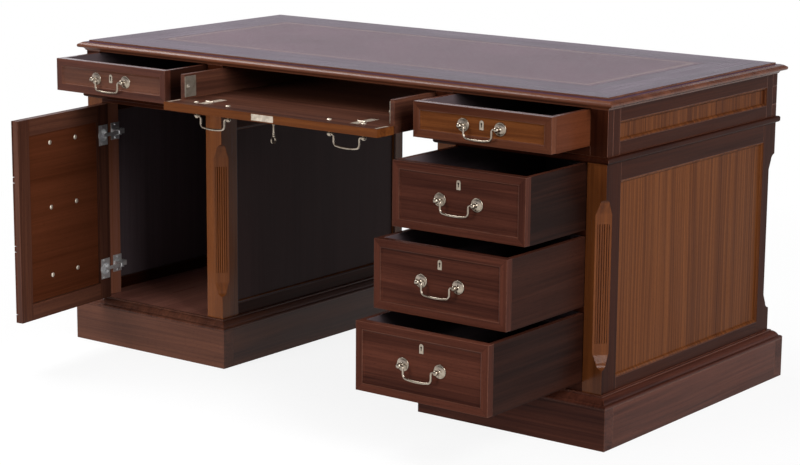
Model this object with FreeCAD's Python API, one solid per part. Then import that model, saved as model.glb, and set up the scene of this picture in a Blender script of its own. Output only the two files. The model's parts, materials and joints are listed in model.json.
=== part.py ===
import FreeCAD, Part
import math
import os
from FreeCAD import Vector

os.makedirs("parts", exist_ok=True)

# Partners desk on two pedestals: a leather topped writing surface over a frieze with two
# side drawers and a drop-front tray, a cupboard in the left pedestal and three drawers in
# the right one.  Millimetres.  X runs to the right, the front faces -Y and Z is up.  Sizes
# are worked out from the middle of the desk's own footprint on the floor.
#
# Moving pieces are modelled shut and then carried to their place on display: drawers drawn
# out, the cupboard door swung open and the tray's flap let down.

# ---------------------------------------------------------------- driving dimensions
DESK_LENGTH = 1600.0
DESK_DEPTH = 800.0
TOP_THICKNESS = 26.0
TOP_OVERHANG = 18.0
TOP_EDGE_FLAT = 23.0
LEATHER_BORDER = 150.0
LEATHER_THICKNESS = 1.5

PLINTH_HEIGHT = 95.0
PLINTH_MOULDING = 23.0
PLINTH_OVERHANG = 28.0
PLINTH_BOARD = 36.0

PEDESTAL_WIDTH = 454.0
POST_HEIGHT = 517.0
POST_WIDTH = 50.0
POST_DEPTH = 58.0
CAP_THICKNESS = 15.0
CAP_OVERHANG = 8.0

FRIEZE_HEIGHT = 104.0
FRIEZE_RAIL = 21.0
FRIEZE_STILE = 44.0
BAY_STILE = 48.0
KNEEHOLE_BAY = 644.0

FRAME_THICKNESS = 22.0
PANEL_THICKNESS = 8.0
PANEL_RECESS = 7.0
PANEL_BEAD = 6.0
BEAD_FLAT_COUNT = 3
SIDE_TOP_RAIL = 43.0
SIDE_BOTTOM_RAIL = 30.0
FRIEZE_PANEL_RAIL = 30.0

CANT = 26.0
TONGUE_BOTTOM = 56.0
TONGUE_TOP = 77.0
TONGUE_LENGTH = 36.0
REED_COUNT = 5
REED_WIDTH = 5.4
REED_SINK = 2.2
REED_FLAT_COUNT = 4
REED_MARGIN = 22.0

FRONT_GAP = 1.5
FRONT_THICKNESS = 20.0
BORDER_WIDTH = 18.0
BORDER_OVOLO = 6.0
FIELD_SINK = 3.5
DRAWER_SIDE = 12.0
DRAWER_BOTTOM = 6.0
BOTTOM_LIFT = 8.0
BACK_DROP = 14.0
RUNNER_WIDTH = 20.0
RUNNER_GAP = 0.3
RAIL_DEPTH = 50.0
GUIDE_RISE = 16.0

DRAWER_RAIL = 13.0
BOTTOM_RAIL = 22.0
UPPER_DRAWER_FRONT = 148.0
PEDESTAL_DRAWER_DEPTH = 600.0
FRIEZE_DRAWER_DEPTH = 560.0
TRAY_DEPTH = 500.0

TRAY_LIFT = 2.0
TRAY_FLOOR = 18.0
TRAY_SIDE_GAP = 2.0
TRAY_SIDE = 12.0
FLAP_THICKNESS = 20.0
FLAP_END_GAP = 3.0
FLAP_GAP = 0.6

DOOR_HEAD_RAIL = 10.0
DOOR_GAP = 2.0
DOOR_FRAME = 14.0
DOOR_FRONT = 6.0
DOOR_STILE = 42.0
DOOR_PANEL = 8.0

POST_SPACING = 98.0
PIVOT_REACH = 16.0
ROSE_RADIUS = 15.5
ROSE_EDGE = 1.5
ROSE_RISE = 4.8
ROSE_FLAT_COUNT = 10
NECK_RADIUS = 3.6
KNOB_RADIUS = 6.0
KNOB_BAND = 4.8
KNOB_FLAT_COUNT = 6
BAIL_DROP = 28.5
BAIL_CORNER = 11.0
BAIL_BOW = 1.5
BAIL_WIRE = 2.8
BAIL_FLAT_COUNT = 6
BAIL_PIN = 2.0
PIN_DEPTH = 2.6
PIN_CLEARANCE = 0.05
PIN_FLAT_COUNT = 8

ESCUTCHEON_WIDTH = 11.0
ESCUTCHEON_HEIGHT = 21.5
ESCUTCHEON_THICKNESS = 1.2
ESCUTCHEON_FLAT_COUNT = 6
KEYHOLE_EYE = 2.4
KEYHOLE_SLOT = 2.4
KEYHOLE_DROP = 8.0
KEY_DROP = 36.0
FRIEZE_KEY_RISE = 4.0
DRAWER_LOCK_WIDTH = 50.0
DRAWER_LOCK_HEIGHT = 32.0
DRAWER_LOCK_THICKNESS = 10.0
DRAWER_LOCK_INSET = 4.0

# Where the moving pieces stand on display.
FRIEZE_PULL = 152.0
TRAY_PULL = 172.0
PEDESTAL_PULLS = (236.0, 301.0, 364.0)
DOOR_SWING = 84.0

# ---------------------------------------------------------------- derived places
body_x = DESK_LENGTH / 2 - TOP_OVERHANG
body_y = DESK_DEPTH / 2 - TOP_OVERHANG
inner_x = body_x - PEDESTAL_WIDTH
base_top = PLINTH_HEIGHT + PLINTH_MOULDING
post_top = base_top + POST_HEIGHT
cap_top = post_top + CAP_THICKNESS
frieze_top = cap_top + FRIEZE_HEIGHT
desk_top = frieze_top + TOP_THICKNESS
frieze_floor = cap_top + FRIEZE_RAIL
tray_low = frieze_floor + TRAY_LIFT
bay_inner = KNEEHOLE_BAY / 2 + BAY_STILE
bay_outer = body_x - FRIEZE_STILE
opening_inner = inner_x + POST_WIDTH
opening_outer = body_x - POST_WIDTH
post_back = body_y - POST_DEPTH
panel_back = PANEL_RECESS + PANEL_THICKNESS

# The origin is moved under the middle of everything as it stands on display, from the
# lowest drawer's knobs at the front to the plinth at the back.
foremost = -body_y - max(PEDESTAL_PULLS) + FIELD_SINK - PIVOT_REACH - KNOB_RADIUS
origin_shift = -(foremost + body_y + PLINTH_OVERHANG) / 2

X_AXIS = Vector(1, 0, 0)
Y_AXIS = Vector(0, 1, 0)
Z_AXIS = Vector(0, 0, 1)


# ---------------------------------------------------------------- shape helpers
def box(x0, x1, y0, y1, z0, z1):
    """A board between two corners, given low then high along each axis."""
    return Part.makeBox(x1 - x0, y1 - y0, z1 - z0, Vector(x0, y0, z0))


def mirrored(shape):
    """The same piece on the other side of the desk's middle."""
    return shape.mirror(Vector(0, 0, 0), X_AXIS)


def both_sides(shapes):
    """A list of pieces with their twins across the middle."""
    return list(shapes) + [mirrored(shape) for shape in shapes]


def moved(shape, x=0.0, y=0.0, z=0.0):
    copy = shape.copy()
    copy.translate(Vector(x, y, z))
    return copy


def turned(shape, centre, axis, degrees):
    copy = shape.copy()
    copy.rotate(centre, axis, degrees)
    return copy


def export(name, shapes):
    """One STEP file for one named piece or group of like pieces."""
    solids = [solid for shape in shapes for solid in shape.Solids]
    whole = Part.makeCompound(solids)
    whole.translate(Vector(0, origin_shift, 0))
    whole.exportStep("parts/" + name + ".step")


def profile_edges(steps, place):
    """Lines and arcs through the steps of a moulding's profile.

    Each step is (inset, height) for a line, or a pair of such points for an arc, whose
    first point lies on the arc and whose second ends it.  place turns a point to a Vector.
    """
    edges = []
    start = place(steps[0])
    for step in steps[1:]:
        if isinstance(step[0], tuple):
            end = place(step[1])
            edges.append(Part.Arc(start, place(step[0]), end).toShape())
        else:
            end = place(step)
            edges.append(Part.makeLine(start, end))
        start = end
    return edges


def moulded_prism(half, reach, steps, along_x):
    """A long board whose two long edges carry the profile, mirrored about its middle."""

    def point(inset, height, side):
        across = side * (half - inset)
        if along_x:
            return Vector(-reach, across, height)
        return Vector(across, -reach, height)

    near = profile_edges(steps, lambda p: point(p[0], p[1], 1))
    far = profile_edges(steps, lambda p: point(p[0], p[1], -1))
    first, last = steps[0], steps[-1]
    if isinstance(last[0], tuple):
        last = last[1]
    bottom = Part.makeLine(point(first[0], first[1], 1), point(first[0], first[1], -1))
    top = Part.makeLine(point(last[0], last[1], 1), point(last[0], last[1], -1))
    wire = Part.Wire(Part.__sortEdges__(near + far + [bottom, top]))
    run = X_AXIS if along_x else Y_AXIS
    return Part.Face(wire).extrude(run * (2 * reach))


def moulded_slab(length, width, steps):
    """A slab about the origin with the profile run round all four edges and mitred."""
    long_board = moulded_prism(width / 2, length / 2, steps, True)
    cross_board = moulded_prism(length / 2, width / 2, steps, False)
    return long_board.common(cross_board)


def sunk_field_cutter(width, height, depth, ovolo):
    """The waste above a sunk field with rounded edges, on a face in the XZ plane.

    The face is y = 0 and the wood lies behind it, towards +Y.
    """
    clear = 1.0
    steps = [
        (ovolo, 0.0),
        ((ovolo * 0.3, depth * 0.45), (0.0, depth)),
        (0.0, depth + clear),
    ]
    slab = moulded_slab(width, height, steps)
    # The slab's height becomes -Y, so its narrow foot rests on the sunk field.
    slab = turned(slab, Vector(0, 0, 0), X_AXIS, 90)
    return moved(slab, y=depth)


def skinned(rings):
    """A solid closed over a row of rings with matching corners, every side of it flat."""
    faces = [Part.Face(Part.makePolygon(ring + ring[:1])) for ring in (rings[0], rings[-1])]
    for ring, following in zip(rings, rings[1:]):
        for corner in range(len(ring)):
            after = (corner + 1) % len(ring)
            side = [ring[corner], ring[after], following[after], following[corner]]
            faces.append(Part.Face(Part.makePolygon(side + side[:1])))
    solid = Part.makeSolid(Part.makeShell(faces))
    if solid.Volume < 0:
        solid.reverse()
    return solid


def bordered(rings):
    """A solid closed round a row of rings that comes back to its first, like a frame."""
    faces = []
    for ring, following in zip(rings, rings[1:] + rings[:1]):
        for corner in range(len(ring)):
            after = (corner + 1) % len(ring)
            side = [ring[corner], ring[after], following[after], following[corner]]
            faces.append(Part.Face(Part.makePolygon(side + side[:1])))
    solid = Part.makeSolid(Part.makeShell(faces))
    if solid.Volume < 0:
        solid.reverse()
    return solid


def turning(profile, flats, base, axis):
    """A small turned piece worked with flats, from (radius, height) pairs up its axis."""
    rings = []
    for radius, height in profile:
        ring = []
        for corner in range(flats):
            angle = 2 * math.pi * (corner + 0.5) / flats
            ring.append(Vector(radius * math.cos(angle), radius * math.sin(angle), height))
        rings.append(ring)
    piece = skinned(rings)
    piece.Placement = FreeCAD.Placement(base, FreeCAD.Rotation(Z_AXIS, axis))
    return piece


# ---------------------------------------------------------------- top
def top_profile():
    """Thumb moulding of the top: a cove under a round nose, an ovolo and a flat step."""
    cove_start = TOP_OVERHANG - 2.0
    nose = 0.48 * TOP_THICKNESS
    return [
        (cove_start, 0.0),
        ((12.3, 5.6), (4.0, 8.0)),
        (2.2, 8.0),
        ((0.0, nose), (2.6, 16.6)),
        ((9.5, 20.4), (TOP_EDGE_FLAT - 3.0, TOP_THICKNESS - 3.8)),
        (TOP_EDGE_FLAT - 1.0, TOP_THICKNESS - 3.8),
        (TOP_EDGE_FLAT - 1.0, TOP_THICKNESS - 1.0),
        (TOP_EDGE_FLAT, TOP_THICKNESS),
    ]


def make_top():
    board = moved(moulded_slab(DESK_LENGTH, DESK_DEPTH, top_profile()), z=frieze_top)
    leather_x = DESK_LENGTH / 2 - LEATHER_BORDER
    leather_y = DESK_DEPTH / 2 - LEATHER_BORDER
    leather = box(-leather_x, leather_x, -leather_y, leather_y,
                  desk_top - LEATHER_THICKNESS, desk_top)
    export("top_board", [board.cut(leather)])
    export("writing_leather", [leather])


# ---------------------------------------------------------------- frieze
def bead_panel(width, height):
    """A recessed panel with a quarter-round bead round its face, standing in XZ.

    The frame's face is y = 0, and the panel's middle is the origin.
    """
    panel = box(-width / 2, width / 2, PANEL_RECESS, panel_back, -height / 2, height / 2)
    ring = turned(bead_ring(width, height), Vector(0, 0, 0), X_AXIS, 90)
    return panel.fuse(moved(ring, y=PANEL_RECESS)).removeSplitter()


def bead_ring(width, height):
    """Quarter-round bead worked in flats and mitred round a rectangle, its back on z = 0."""
    rings = []
    for step in range(BEAD_FLAT_COUNT + 1):
        angle = math.pi / 2 * step / BEAD_FLAT_COUNT
        inset, rise = PANEL_BEAD * math.sin(angle), PANEL_BEAD * math.cos(angle)
        half_x, half_y = width / 2 - inset, height / 2 - inset
        corners = ((-half_x, -half_y), (half_x, -half_y), (half_x, half_y), (-half_x, half_y))
        rings.append([Vector(x, y, rise) for x, y in corners])
    outer = [Vector(point.x, point.y, 0) for point in rings[0]]
    return bordered([outer] + rings)


def make_frieze():
    front, back = -body_y, body_y
    half_bay = KNEEHOLE_BAY / 2
    # Front frame: a rail over each pedestal, four stiles, and the set-back kneehole rail.
    rail = box(half_bay, bay_outer, front, front + RAIL_DEPTH, cap_top, frieze_floor)
    outer = box(bay_outer, body_x, front, front + FRAME_THICKNESS, cap_top, frieze_top)
    inner = box(half_bay, bay_inner, front, front + FRAME_THICKNESS, frieze_floor, frieze_top)
    knee_rail = box(-half_bay, half_bay, front + RAIL_DEPTH, front + RAIL_DEPTH + FRAME_THICKNESS,
                    cap_top, frieze_floor)
    export("frieze_front_frame", both_sides([rail, outer, inner]) + [knee_rail])

    # Ends: two stiles and two rails about a recessed panel.
    panel_low = cap_top + FRIEZE_PANEL_RAIL
    panel_high = frieze_top - FRIEZE_PANEL_RAIL
    side_in = body_x - FRAME_THICKNESS
    run = body_y - FRAME_THICKNESS
    stile_front = front + RAIL_DEPTH
    ends = [
        box(side_in, body_x, -run, stile_front, cap_top, frieze_top),
        box(side_in, body_x, -stile_front, run, cap_top, frieze_top),
        box(side_in, body_x, stile_front, -stile_front, cap_top, panel_low),
        box(side_in, body_x, stile_front, -stile_front, panel_high, frieze_top),
    ]
    export("frieze_ends", both_sides(ends))

    # Back: rails, stiles in line with those of the front, and three panels.
    back_in = back - FRAME_THICKNESS
    back_parts = [
        box(-body_x, body_x, back_in, back, cap_top, panel_low),
        box(-body_x, body_x, back_in, back, panel_high, frieze_top),
    ]
    stiles = [
        box(bay_outer, body_x, back_in, back, panel_low, panel_high),
        box(half_bay, bay_inner, back_in, back, panel_low, panel_high),
    ]
    export("frieze_back", back_parts + both_sides(stiles))

    height = panel_high - panel_low
    middle = (panel_high + panel_low) / 2
    end_panel = turned(bead_panel(-2 * stile_front, height), Vector(0, 0, 0), Z_AXIS, 90)
    end_panel = moved(end_panel, x=body_x, z=middle)
    bay = turned(bead_panel(bay_outer - bay_inner, height), Vector(0, 0, 0), Z_AXIS, 180)
    bay = moved(bay, x=(bay_outer + bay_inner) / 2, y=back, z=middle)
    knee = turned(bead_panel(KNEEHOLE_BAY, height), Vector(0, 0, 0), Z_AXIS, 180)
    knee = moved(knee, y=back, z=middle)
    export("frieze_panels", both_sides([end_panel, bay]) + [knee])

    # Dividers between the bays, with the runners and guides of the drawers and the tray.
    middle_x = (half_bay + bay_inner) / 2
    half = FRAME_THICKNESS / 2
    low_start = front + RAIL_DEPTH
    knee_start = low_start + FRAME_THICKNESS
    high_start = front + FRAME_THICKNESS
    guide_top = frieze_floor + GUIDE_RISE
    supports = [
        box(half_bay, bay_inner + RUNNER_WIDTH, low_start, back_in, cap_top, frieze_floor),
        box(middle_x - half, middle_x + half, high_start, back_in, frieze_floor, frieze_top),
        box(middle_x + half, bay_inner, high_start, back_in, frieze_floor, guide_top),
        box(half_bay, middle_x - half, high_start, back_in, frieze_floor, guide_top),
        box(bay_outer - RUNNER_WIDTH, side_in, low_start, back_in, cap_top, frieze_floor),
        box(bay_outer, side_in, high_start, back_in, frieze_floor, guide_top),
        box(half_bay - RUNNER_WIDTH, half_bay, knee_start, back_in, cap_top,
            tray_low - RUNNER_GAP),
    ]
    export("frieze_dividers", both_sides(supports))


# ---------------------------------------------------------------- pedestals
def tongue_cutter():
    """Waste of one canted corner, with an ogee lamb's tongue at each end.

    Drawn in the vertical plane that halves the corner, whose edge is the Z axis and whose
    wood lies towards +X, then widened both ways.
    """
    depth = CANT / math.sqrt(2)
    low = TONGUE_BOTTOM
    high = POST_HEIGHT - TONGUE_TOP
    span = TONGUE_LENGTH
    out = -4.0

    def at(d, z):
        return Vector(d, 0, z)

    edges = [
        Part.makeLine(at(out, low), at(0, low)),
        Part.Arc(at(0, low), at(depth * 0.42, low + span * 0.13),
                 at(depth * 0.62, low + span * 0.40)).toShape(),
        Part.Arc(at(depth * 0.62, low + span * 0.40), at(depth * 0.86, low + span * 0.78),
                 at(depth, low + span)).toShape(),
        Part.makeLine(at(depth, low + span), at(depth, high - span)),
        Part.Arc(at(depth, high - span), at(depth * 0.86, high - span * 0.78),
                 at(depth * 0.62, high - span * 0.40)).toShape(),
        Part.Arc(at(depth * 0.62, high - span * 0.40), at(depth * 0.42, high - span * 0.13),
                 at(0, high)).toShape(),
        Part.makeLine(at(0, high), at(out, high)),
        Part.makeLine(at(out, high), at(out, low)),
    ]
    wide = 2 * CANT
    face = Part.Face(Part.Wire(edges))
    cutter = face.extrude(Y_AXIS * (2 * wide))
    return moved(cutter, y=-wide)


def reed_cutter():
    """Waste between the reeds sunk in a canted corner, in the same place as the cutter."""
    depth = CANT / math.sqrt(2)
    low = TONGUE_BOTTOM + TONGUE_LENGTH + REED_MARGIN
    high = POST_HEIGHT - TONGUE_TOP - TONGUE_LENGTH - REED_MARGIN
    half = REED_COUNT * REED_WIDTH / 2
    radius = REED_WIDTH / 2
    outline = [Vector(depth - 1.0, -half, low)]
    for reed in range(REED_COUNT):
        middle = (reed + 0.5) * REED_WIDTH - half
        for step in range(REED_FLAT_COUNT + 1):
            angle = math.pi * (step / REED_FLAT_COUNT - 0.5)
            sink = min(radius * (1 - math.cos(angle)), REED_SINK)
            point = Vector(depth + sink, middle + radius * math.sin(angle), low)
            if (point - outline[-1]).Length > 0.01:
                outline.append(point)
    outline.append(Vector(depth - 1.0, half, low))
    return Part.Face(Part.makePolygon(outline + outline[:1])).extrude(Z_AXIS * (high - low))


def make_posts(side_x):
    """Four corner posts of a pedestal whose middle is at side_x."""
    corner = tongue_cutter()
    reeds = reed_cutter()
    post = box(0, POST_WIDTH, 0, POST_DEPTH, 0, POST_HEIGHT)
    corner = turned(corner, Vector(0, 0, 0), Z_AXIS, 45)
    reeds = turned(reeds, Vector(0, 0, 0), Z_AXIS, 45)
    post = post.cut(corner).cut(reeds)
    half = PEDESTAL_WIDTH / 2
    front_left = moved(post, -half, -body_y, base_top)
    front_right = mirrored(front_left)
    back = [shape.mirror(Vector(0, 0, 0), Y_AXIS) for shape in (front_left, front_right)]
    return [moved(shape, x=side_x) for shape in [front_left, front_right] + back]


def plinth_profile():
    """Moulding on the plinth: a quirk, a hollow, a step and a rounded top."""
    wide = PLINTH_OVERHANG
    high = PLINTH_MOULDING
    return [
        (0.0, 0.0),
        (0.0, 2.0),
        ((0.05 * wide, 0.26 * high), (0.19 * wide, 0.34 * high)),
        (0.26 * wide, 0.34 * high),
        ((0.38 * wide, 0.62 * high), (0.66 * wide, 0.87 * high)),
        (0.74 * wide, 0.87 * high),
        (0.74 * wide, high),
    ]


def cap_profile():
    """Waist moulding: a round nose between two small flats."""
    reach = CAP_OVERHANG
    high = CAP_THICKNESS
    return [
        (reach - 2.5, 0.0),
        ((0.15 * reach, 0.16 * high), (0.0, 0.50 * high)),
        (0.0, 0.66 * high),
        ((0.18 * reach, 0.92 * high), (0.62 * reach, high)),
    ]


def make_pedestal(name, sign):
    """Cap, posts, rails, panels, base and plinth of one pedestal."""
    middle = sign * (body_x + inner_x) / 2
    half = PEDESTAL_WIDTH / 2
    width, depth = PEDESTAL_WIDTH, 2 * body_y

    cap = moulded_slab(width + 2 * CAP_OVERHANG, depth + 2 * CAP_OVERHANG, cap_profile())
    export(name + "_pedestal_cap", [moved(cap, x=middle, z=post_top)])
    export(name + "_pedestal_posts", make_posts(middle))

    # Rails between the posts on both sides and at the back.
    bottom_rail = base_top + SIDE_BOTTOM_RAIL
    top_rail = post_top - SIDE_TOP_RAIL
    rails = []
    for low, high in ((base_top, bottom_rail), (top_rail, post_top)):
        side = box(half - FRAME_THICKNESS, half, -post_back, post_back, low, high)
        rails += both_sides([side])
        rails.append(box(POST_WIDTH - half, half - POST_WIDTH, body_y - FRAME_THICKNESS,
                         body_y, low, high))
    if name == "left":
        # The cupboard's opening has a head rail over its door.
        rails.append(box(POST_WIDTH - half, half - POST_WIDTH, -body_y, RAIL_DEPTH - body_y,
                         post_top - DOOR_HEAD_RAIL, post_top))
    export(name + "_pedestal_rails", [moved(rail, x=middle) for rail in rails])

    height = top_rail - bottom_rail
    level = (top_rail + bottom_rail) / 2
    origin = Vector(0, 0, 0)
    side_panel = turned(bead_panel(2 * post_back, height), origin, Z_AXIS, 90)
    side_panel = moved(side_panel, x=half, z=level)
    back_panel = turned(bead_panel(width - 2 * POST_WIDTH, height), origin, Z_AXIS, 180)
    back_panel = moved(back_panel, y=body_y, z=level)
    panels = both_sides([side_panel]) + [back_panel]
    export(name + "_pedestal_panels", [moved(panel, x=middle) for panel in panels])

    base = box(-half, half, -body_y, body_y, PLINTH_HEIGHT, base_top)
    export(name + "_pedestal_base", [moved(base, x=middle)])

    # Plinth: four boards and the moulding mitred round their top.
    out_x = half + PLINTH_OVERHANG
    out_y = body_y + PLINTH_OVERHANG
    in_x, in_y = out_x - PLINTH_BOARD, out_y - PLINTH_BOARD
    boards = [
        box(-out_x, out_x, -out_y, -in_y, 0, PLINTH_HEIGHT),
        box(-out_x, out_x, in_y, out_y, 0, PLINTH_HEIGHT),
        box(-out_x, -in_x, -in_y, in_y, 0, PLINTH_HEIGHT),
        box(in_x, out_x, -in_y, in_y, 0, PLINTH_HEIGHT),
    ]
    moulding = moulded_slab(2 * out_x, 2 * out_y, plinth_profile())
    moulding = moved(moulding, z=PLINTH_HEIGHT)
    moulding = moulding.cut(box(-half, half, -body_y, body_y, PLINTH_HEIGHT - 1, base_top + 1))
    export(name + "_plinth", [moved(shape, x=middle) for shape in boards + [moulding]])


# ---------------------------------------------------------------- handles and locks
def pin_bore(pin_radius, length, start, axis):
    """Waste of a bore whose flats clear a turning pin all round."""
    corner = (pin_radius + PIN_CLEARANCE) / math.cos(math.pi / PIN_FLAT_COUNT)
    return turning([(corner, 0.0), (corner, length)], PIN_FLAT_COUNT, start, axis)


def rose_and_knob(x):
    """A turned rose, neck and knob, bored from the handle's middle to take the bail.

    The face it stands on is y = 0, its outside is -Y, and its middle is at x.
    """
    base = Vector(x, 0, 0)
    rose = [
        (ROSE_RADIUS, 0.0),
        (ROSE_RADIUS, ROSE_EDGE),
        (0.34 * ROSE_RADIUS, ROSE_RISE),
    ]
    knob = [
        (NECK_RADIUS, ROSE_RISE),
        (NECK_RADIUS, PIVOT_REACH - KNOB_RADIUS),
        (KNOB_RADIUS, PIVOT_REACH - KNOB_BAND / 2),
        (KNOB_RADIUS, PIVOT_REACH + KNOB_BAND / 2),
        (NECK_RADIUS, PIVOT_REACH + KNOB_RADIUS),
    ]
    post = turning(rose, ROSE_FLAT_COUNT, base, -Y_AXIS)
    post = post.fuse(turning(knob, KNOB_FLAT_COUNT, base, -Y_AXIS))
    inward = X_AXIS if x < 0 else -X_AXIS
    deepest = Vector(x, -PIVOT_REACH, 0) - inward * PIN_DEPTH
    return post.cut(pin_bore(BAIL_PIN, PIN_DEPTH + KNOB_RADIUS, deepest, inward))


def handle_posts():
    half = POST_SPACING / 2
    return [rose_and_knob(-half), rose_and_knob(half)]


def bail_path():
    """Points along the left half of a hanging bail, from its pin to its middle, as (x, z)."""
    shoulder = POST_SPACING / 2 - KNOB_RADIUS - 0.3
    bend = 2 * BAIL_WIRE
    foot = BAIL_DROP - BAIL_BOW
    half_bow = shoulder - bend - BAIL_CORNER
    points = []
    for degrees in (90, 45, 0):
        angle = math.radians(degrees)
        points.append((bend * math.cos(angle) - shoulder, bend * math.sin(angle) - bend))
    for degrees in (180, 212, 244):
        angle = math.radians(degrees)
        points.append((BAIL_CORNER * math.cos(angle) - half_bow,
                       BAIL_CORNER * (1 + math.sin(angle)) - foot))
    for share in (0.93, 0.5, 0.0):
        points.append((-half_bow * share, -foot - BAIL_BOW * (1 - share ** 2)))
    return points


def bail(lift):
    """The swinging bail, hanging when lift is 0 and standing out when it is 90."""
    left = bail_path()
    path = [Vector(x, -PIVOT_REACH, z) for x, z in left]
    path += [Vector(-x, -PIVOT_REACH, z) for x, z in reversed(left[:-1])]
    runs = [(end - start).normalize() for start, end in zip(path, path[1:])]
    before, after = [X_AXIS] + runs, runs + [X_AXIS]
    rings = []
    for point, arriving, leaving in zip(path, before, after):
        # Each joint is mitred: its ring lies in the plane that halves the two runs.
        heading = (arriving + leaving).normalize()
        across = heading.cross(Y_AXIS) * (1 / heading.dot(leaving))
        ring = []
        for corner in range(BAIL_FLAT_COUNT):
            angle = 2 * math.pi * (corner + 0.5) / BAIL_FLAT_COUNT
            offset = across * math.cos(angle) + Y_AXIS * math.sin(angle)
            ring.append(point + offset * BAIL_WIRE)
        rings.append(ring)
    rod = skinned(rings)
    shoulder = -left[0][0]
    pin_tip = POST_SPACING / 2 + PIN_DEPTH - 0.6
    for side in (-1, 1):
        start = Vector(side * shoulder, -PIVOT_REACH, 0)
        pin = [(BAIL_PIN, 0.0), (BAIL_PIN, pin_tip - shoulder)]
        rod = rod.fuse(turning(pin, PIN_FLAT_COUNT, start, X_AXIS * side))
    return turned(rod, Vector(0, -PIVOT_REACH, 0), X_AXIS, -lift)


def escutcheon():
    """Upright keyhole plate with a rounded head, standing on y = 0 about the origin."""
    half = ESCUTCHEON_WIDTH / 2
    spring = ESCUTCHEON_HEIGHT / 2 - half
    outline = [
        Vector(-half, -ESCUTCHEON_THICKNESS, -ESCUTCHEON_HEIGHT / 2),
        Vector(half, -ESCUTCHEON_THICKNESS, -ESCUTCHEON_HEIGHT / 2),
    ]
    for step in range(ESCUTCHEON_FLAT_COUNT + 1):
        angle = math.pi * step / ESCUTCHEON_FLAT_COUNT
        outline.append(Vector(half * math.cos(angle), -ESCUTCHEON_THICKNESS,
                              spring + half * math.sin(angle)))
    plate = Part.Face(Part.makePolygon(outline + outline[:1]))
    plate = plate.extrude(Y_AXIS * ESCUTCHEON_THICKNESS)
    through = 2 * ESCUTCHEON_THICKNESS
    eye_z = spring - KEYHOLE_EYE
    eye = turning([(KEYHOLE_EYE, -through), (KEYHOLE_EYE, through)], 8, Vector(0, 0, eye_z),
                  Y_AXIS)
    slot = box(-KEYHOLE_SLOT / 2, KEYHOLE_SLOT / 2, -through, through, eye_z - KEYHOLE_DROP,
               eye_z)
    return plate.cut(eye.fuse(slot))


def bolt_head(x, y, z):
    """The domed head of a handle's bolt on an inner face, standing towards +Y."""
    profile = [(BOLT_HEAD, 0.0), (BOLT_HEAD, 0.35 * BOLT_RISE), (0.62 * BOLT_HEAD, BOLT_RISE)]
    return turning(profile, 8, Vector(x, y, z), Y_AXIS)


def lock_case():
    """A drawer lock's case, its front on y = 0 against the drawer front, its top at z = 0."""
    half = DRAWER_LOCK_WIDTH / 2
    return box(-half, half, 0, DRAWER_LOCK_THICKNESS, -DRAWER_LOCK_HEIGHT, 0)


# ---------------------------------------------------------------- drawers
def framed_front(x0, x1, z0, z1, thickness):
    """A front with a mitred border round a sunk field, its face at the desk's front."""
    front = box(x0, x1, -body_y, -body_y + thickness, z0, z1)
    width, height = x1 - x0, z1 - z0
    field = sunk_field_cutter(width - 2 * BORDER_WIDTH, height - 2 * BORDER_WIDTH,
                              FIELD_SINK, BORDER_OVOLO)
    return front.cut(moved(field, (x0 + x1) / 2, -body_y, (z0 + z1) / 2))


def drawer_boards(x0, x1, floor, top, depth):
    """Two sides, a lower back and a bottom behind a front, as separate boards."""
    front_back = -body_y + FRONT_THICKNESS
    end = -body_y + depth
    low = floor + RUNNER_GAP
    bottom_low = low + BOTTOM_LIFT
    bottom_high = bottom_low + DRAWER_BOTTOM
    inner_left, inner_right = x0 + DRAWER_SIDE, x1 - DRAWER_SIDE
    return [
        box(x0, inner_left, front_back, end, low, top),
        box(inner_right, x1, front_back, end, low, top),
        box(inner_left, inner_right, front_back, end, bottom_low, bottom_high),
        box(inner_left, inner_right, end - DRAWER_SIDE, end, bottom_high, top - BACK_DROP),
    ]


def make_drawer(name, x0, x1, floor, height, depth, pull, key_drop):
    """Front, box, fittings and bail of a drawer in the opening from x0 to x1."""
    left, right = x0 + FRONT_GAP, x1 - FRONT_GAP
    low = floor + FRONT_GAP
    high = low + height
    middle_x, middle_z = (left + right) / 2, (low + high) / 2
    face = -body_y + FIELD_SINK
    lock = moved(lock_case(), middle_x, -body_y + FRONT_THICKNESS, high - DRAWER_LOCK_INSET)
    fittings = [moved(post, middle_x, face, middle_z) for post in handle_posts()]
    fittings += [moved(escutcheon(), middle_x, face, high - key_drop), lock]
    pieces = {
        name + "_front": [framed_front(left, right, low, high, FRONT_THICKNESS)],
        name + "_box": drawer_boards(left, right, floor, high, depth),
        name + "_fittings": fittings,
        name + "_bail": [moved(bail(0), middle_x, face, middle_z)],
    }
    for node, shapes in pieces.items():
        export(node, [moved(shape, y=-pull) for shape in shapes])


def make_frieze_drawers():
    height = frieze_top - frieze_floor - 2 * FRONT_GAP
    key_drop = height / 2 - FRIEZE_KEY_RISE
    make_drawer("left_frieze_drawer", -bay_outer, -bay_inner, frieze_floor, height,
                FRIEZE_DRAWER_DEPTH, FRIEZE_PULL, key_drop)
    make_drawer("right_frieze_drawer", bay_inner, bay_outer, frieze_floor, height,
                FRIEZE_DRAWER_DEPTH, FRIEZE_PULL, key_drop)


def pedestal_levels():
    """Floor and front height of the three pedestal drawers, from the top one down."""
    opening = POST_HEIGHT - BOTTOM_RAIL
    spare = opening - UPPER_DRAWER_FRONT - 2 * DRAWER_RAIL - 6 * FRONT_GAP
    heights = (UPPER_DRAWER_FRONT, spare / 2, spare / 2)
    levels = []
    top = post_top
    for height in heights:
        floor = top - height - 2 * FRONT_GAP
        levels.append((floor, height))
        top = floor - DRAWER_RAIL
    return levels


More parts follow.
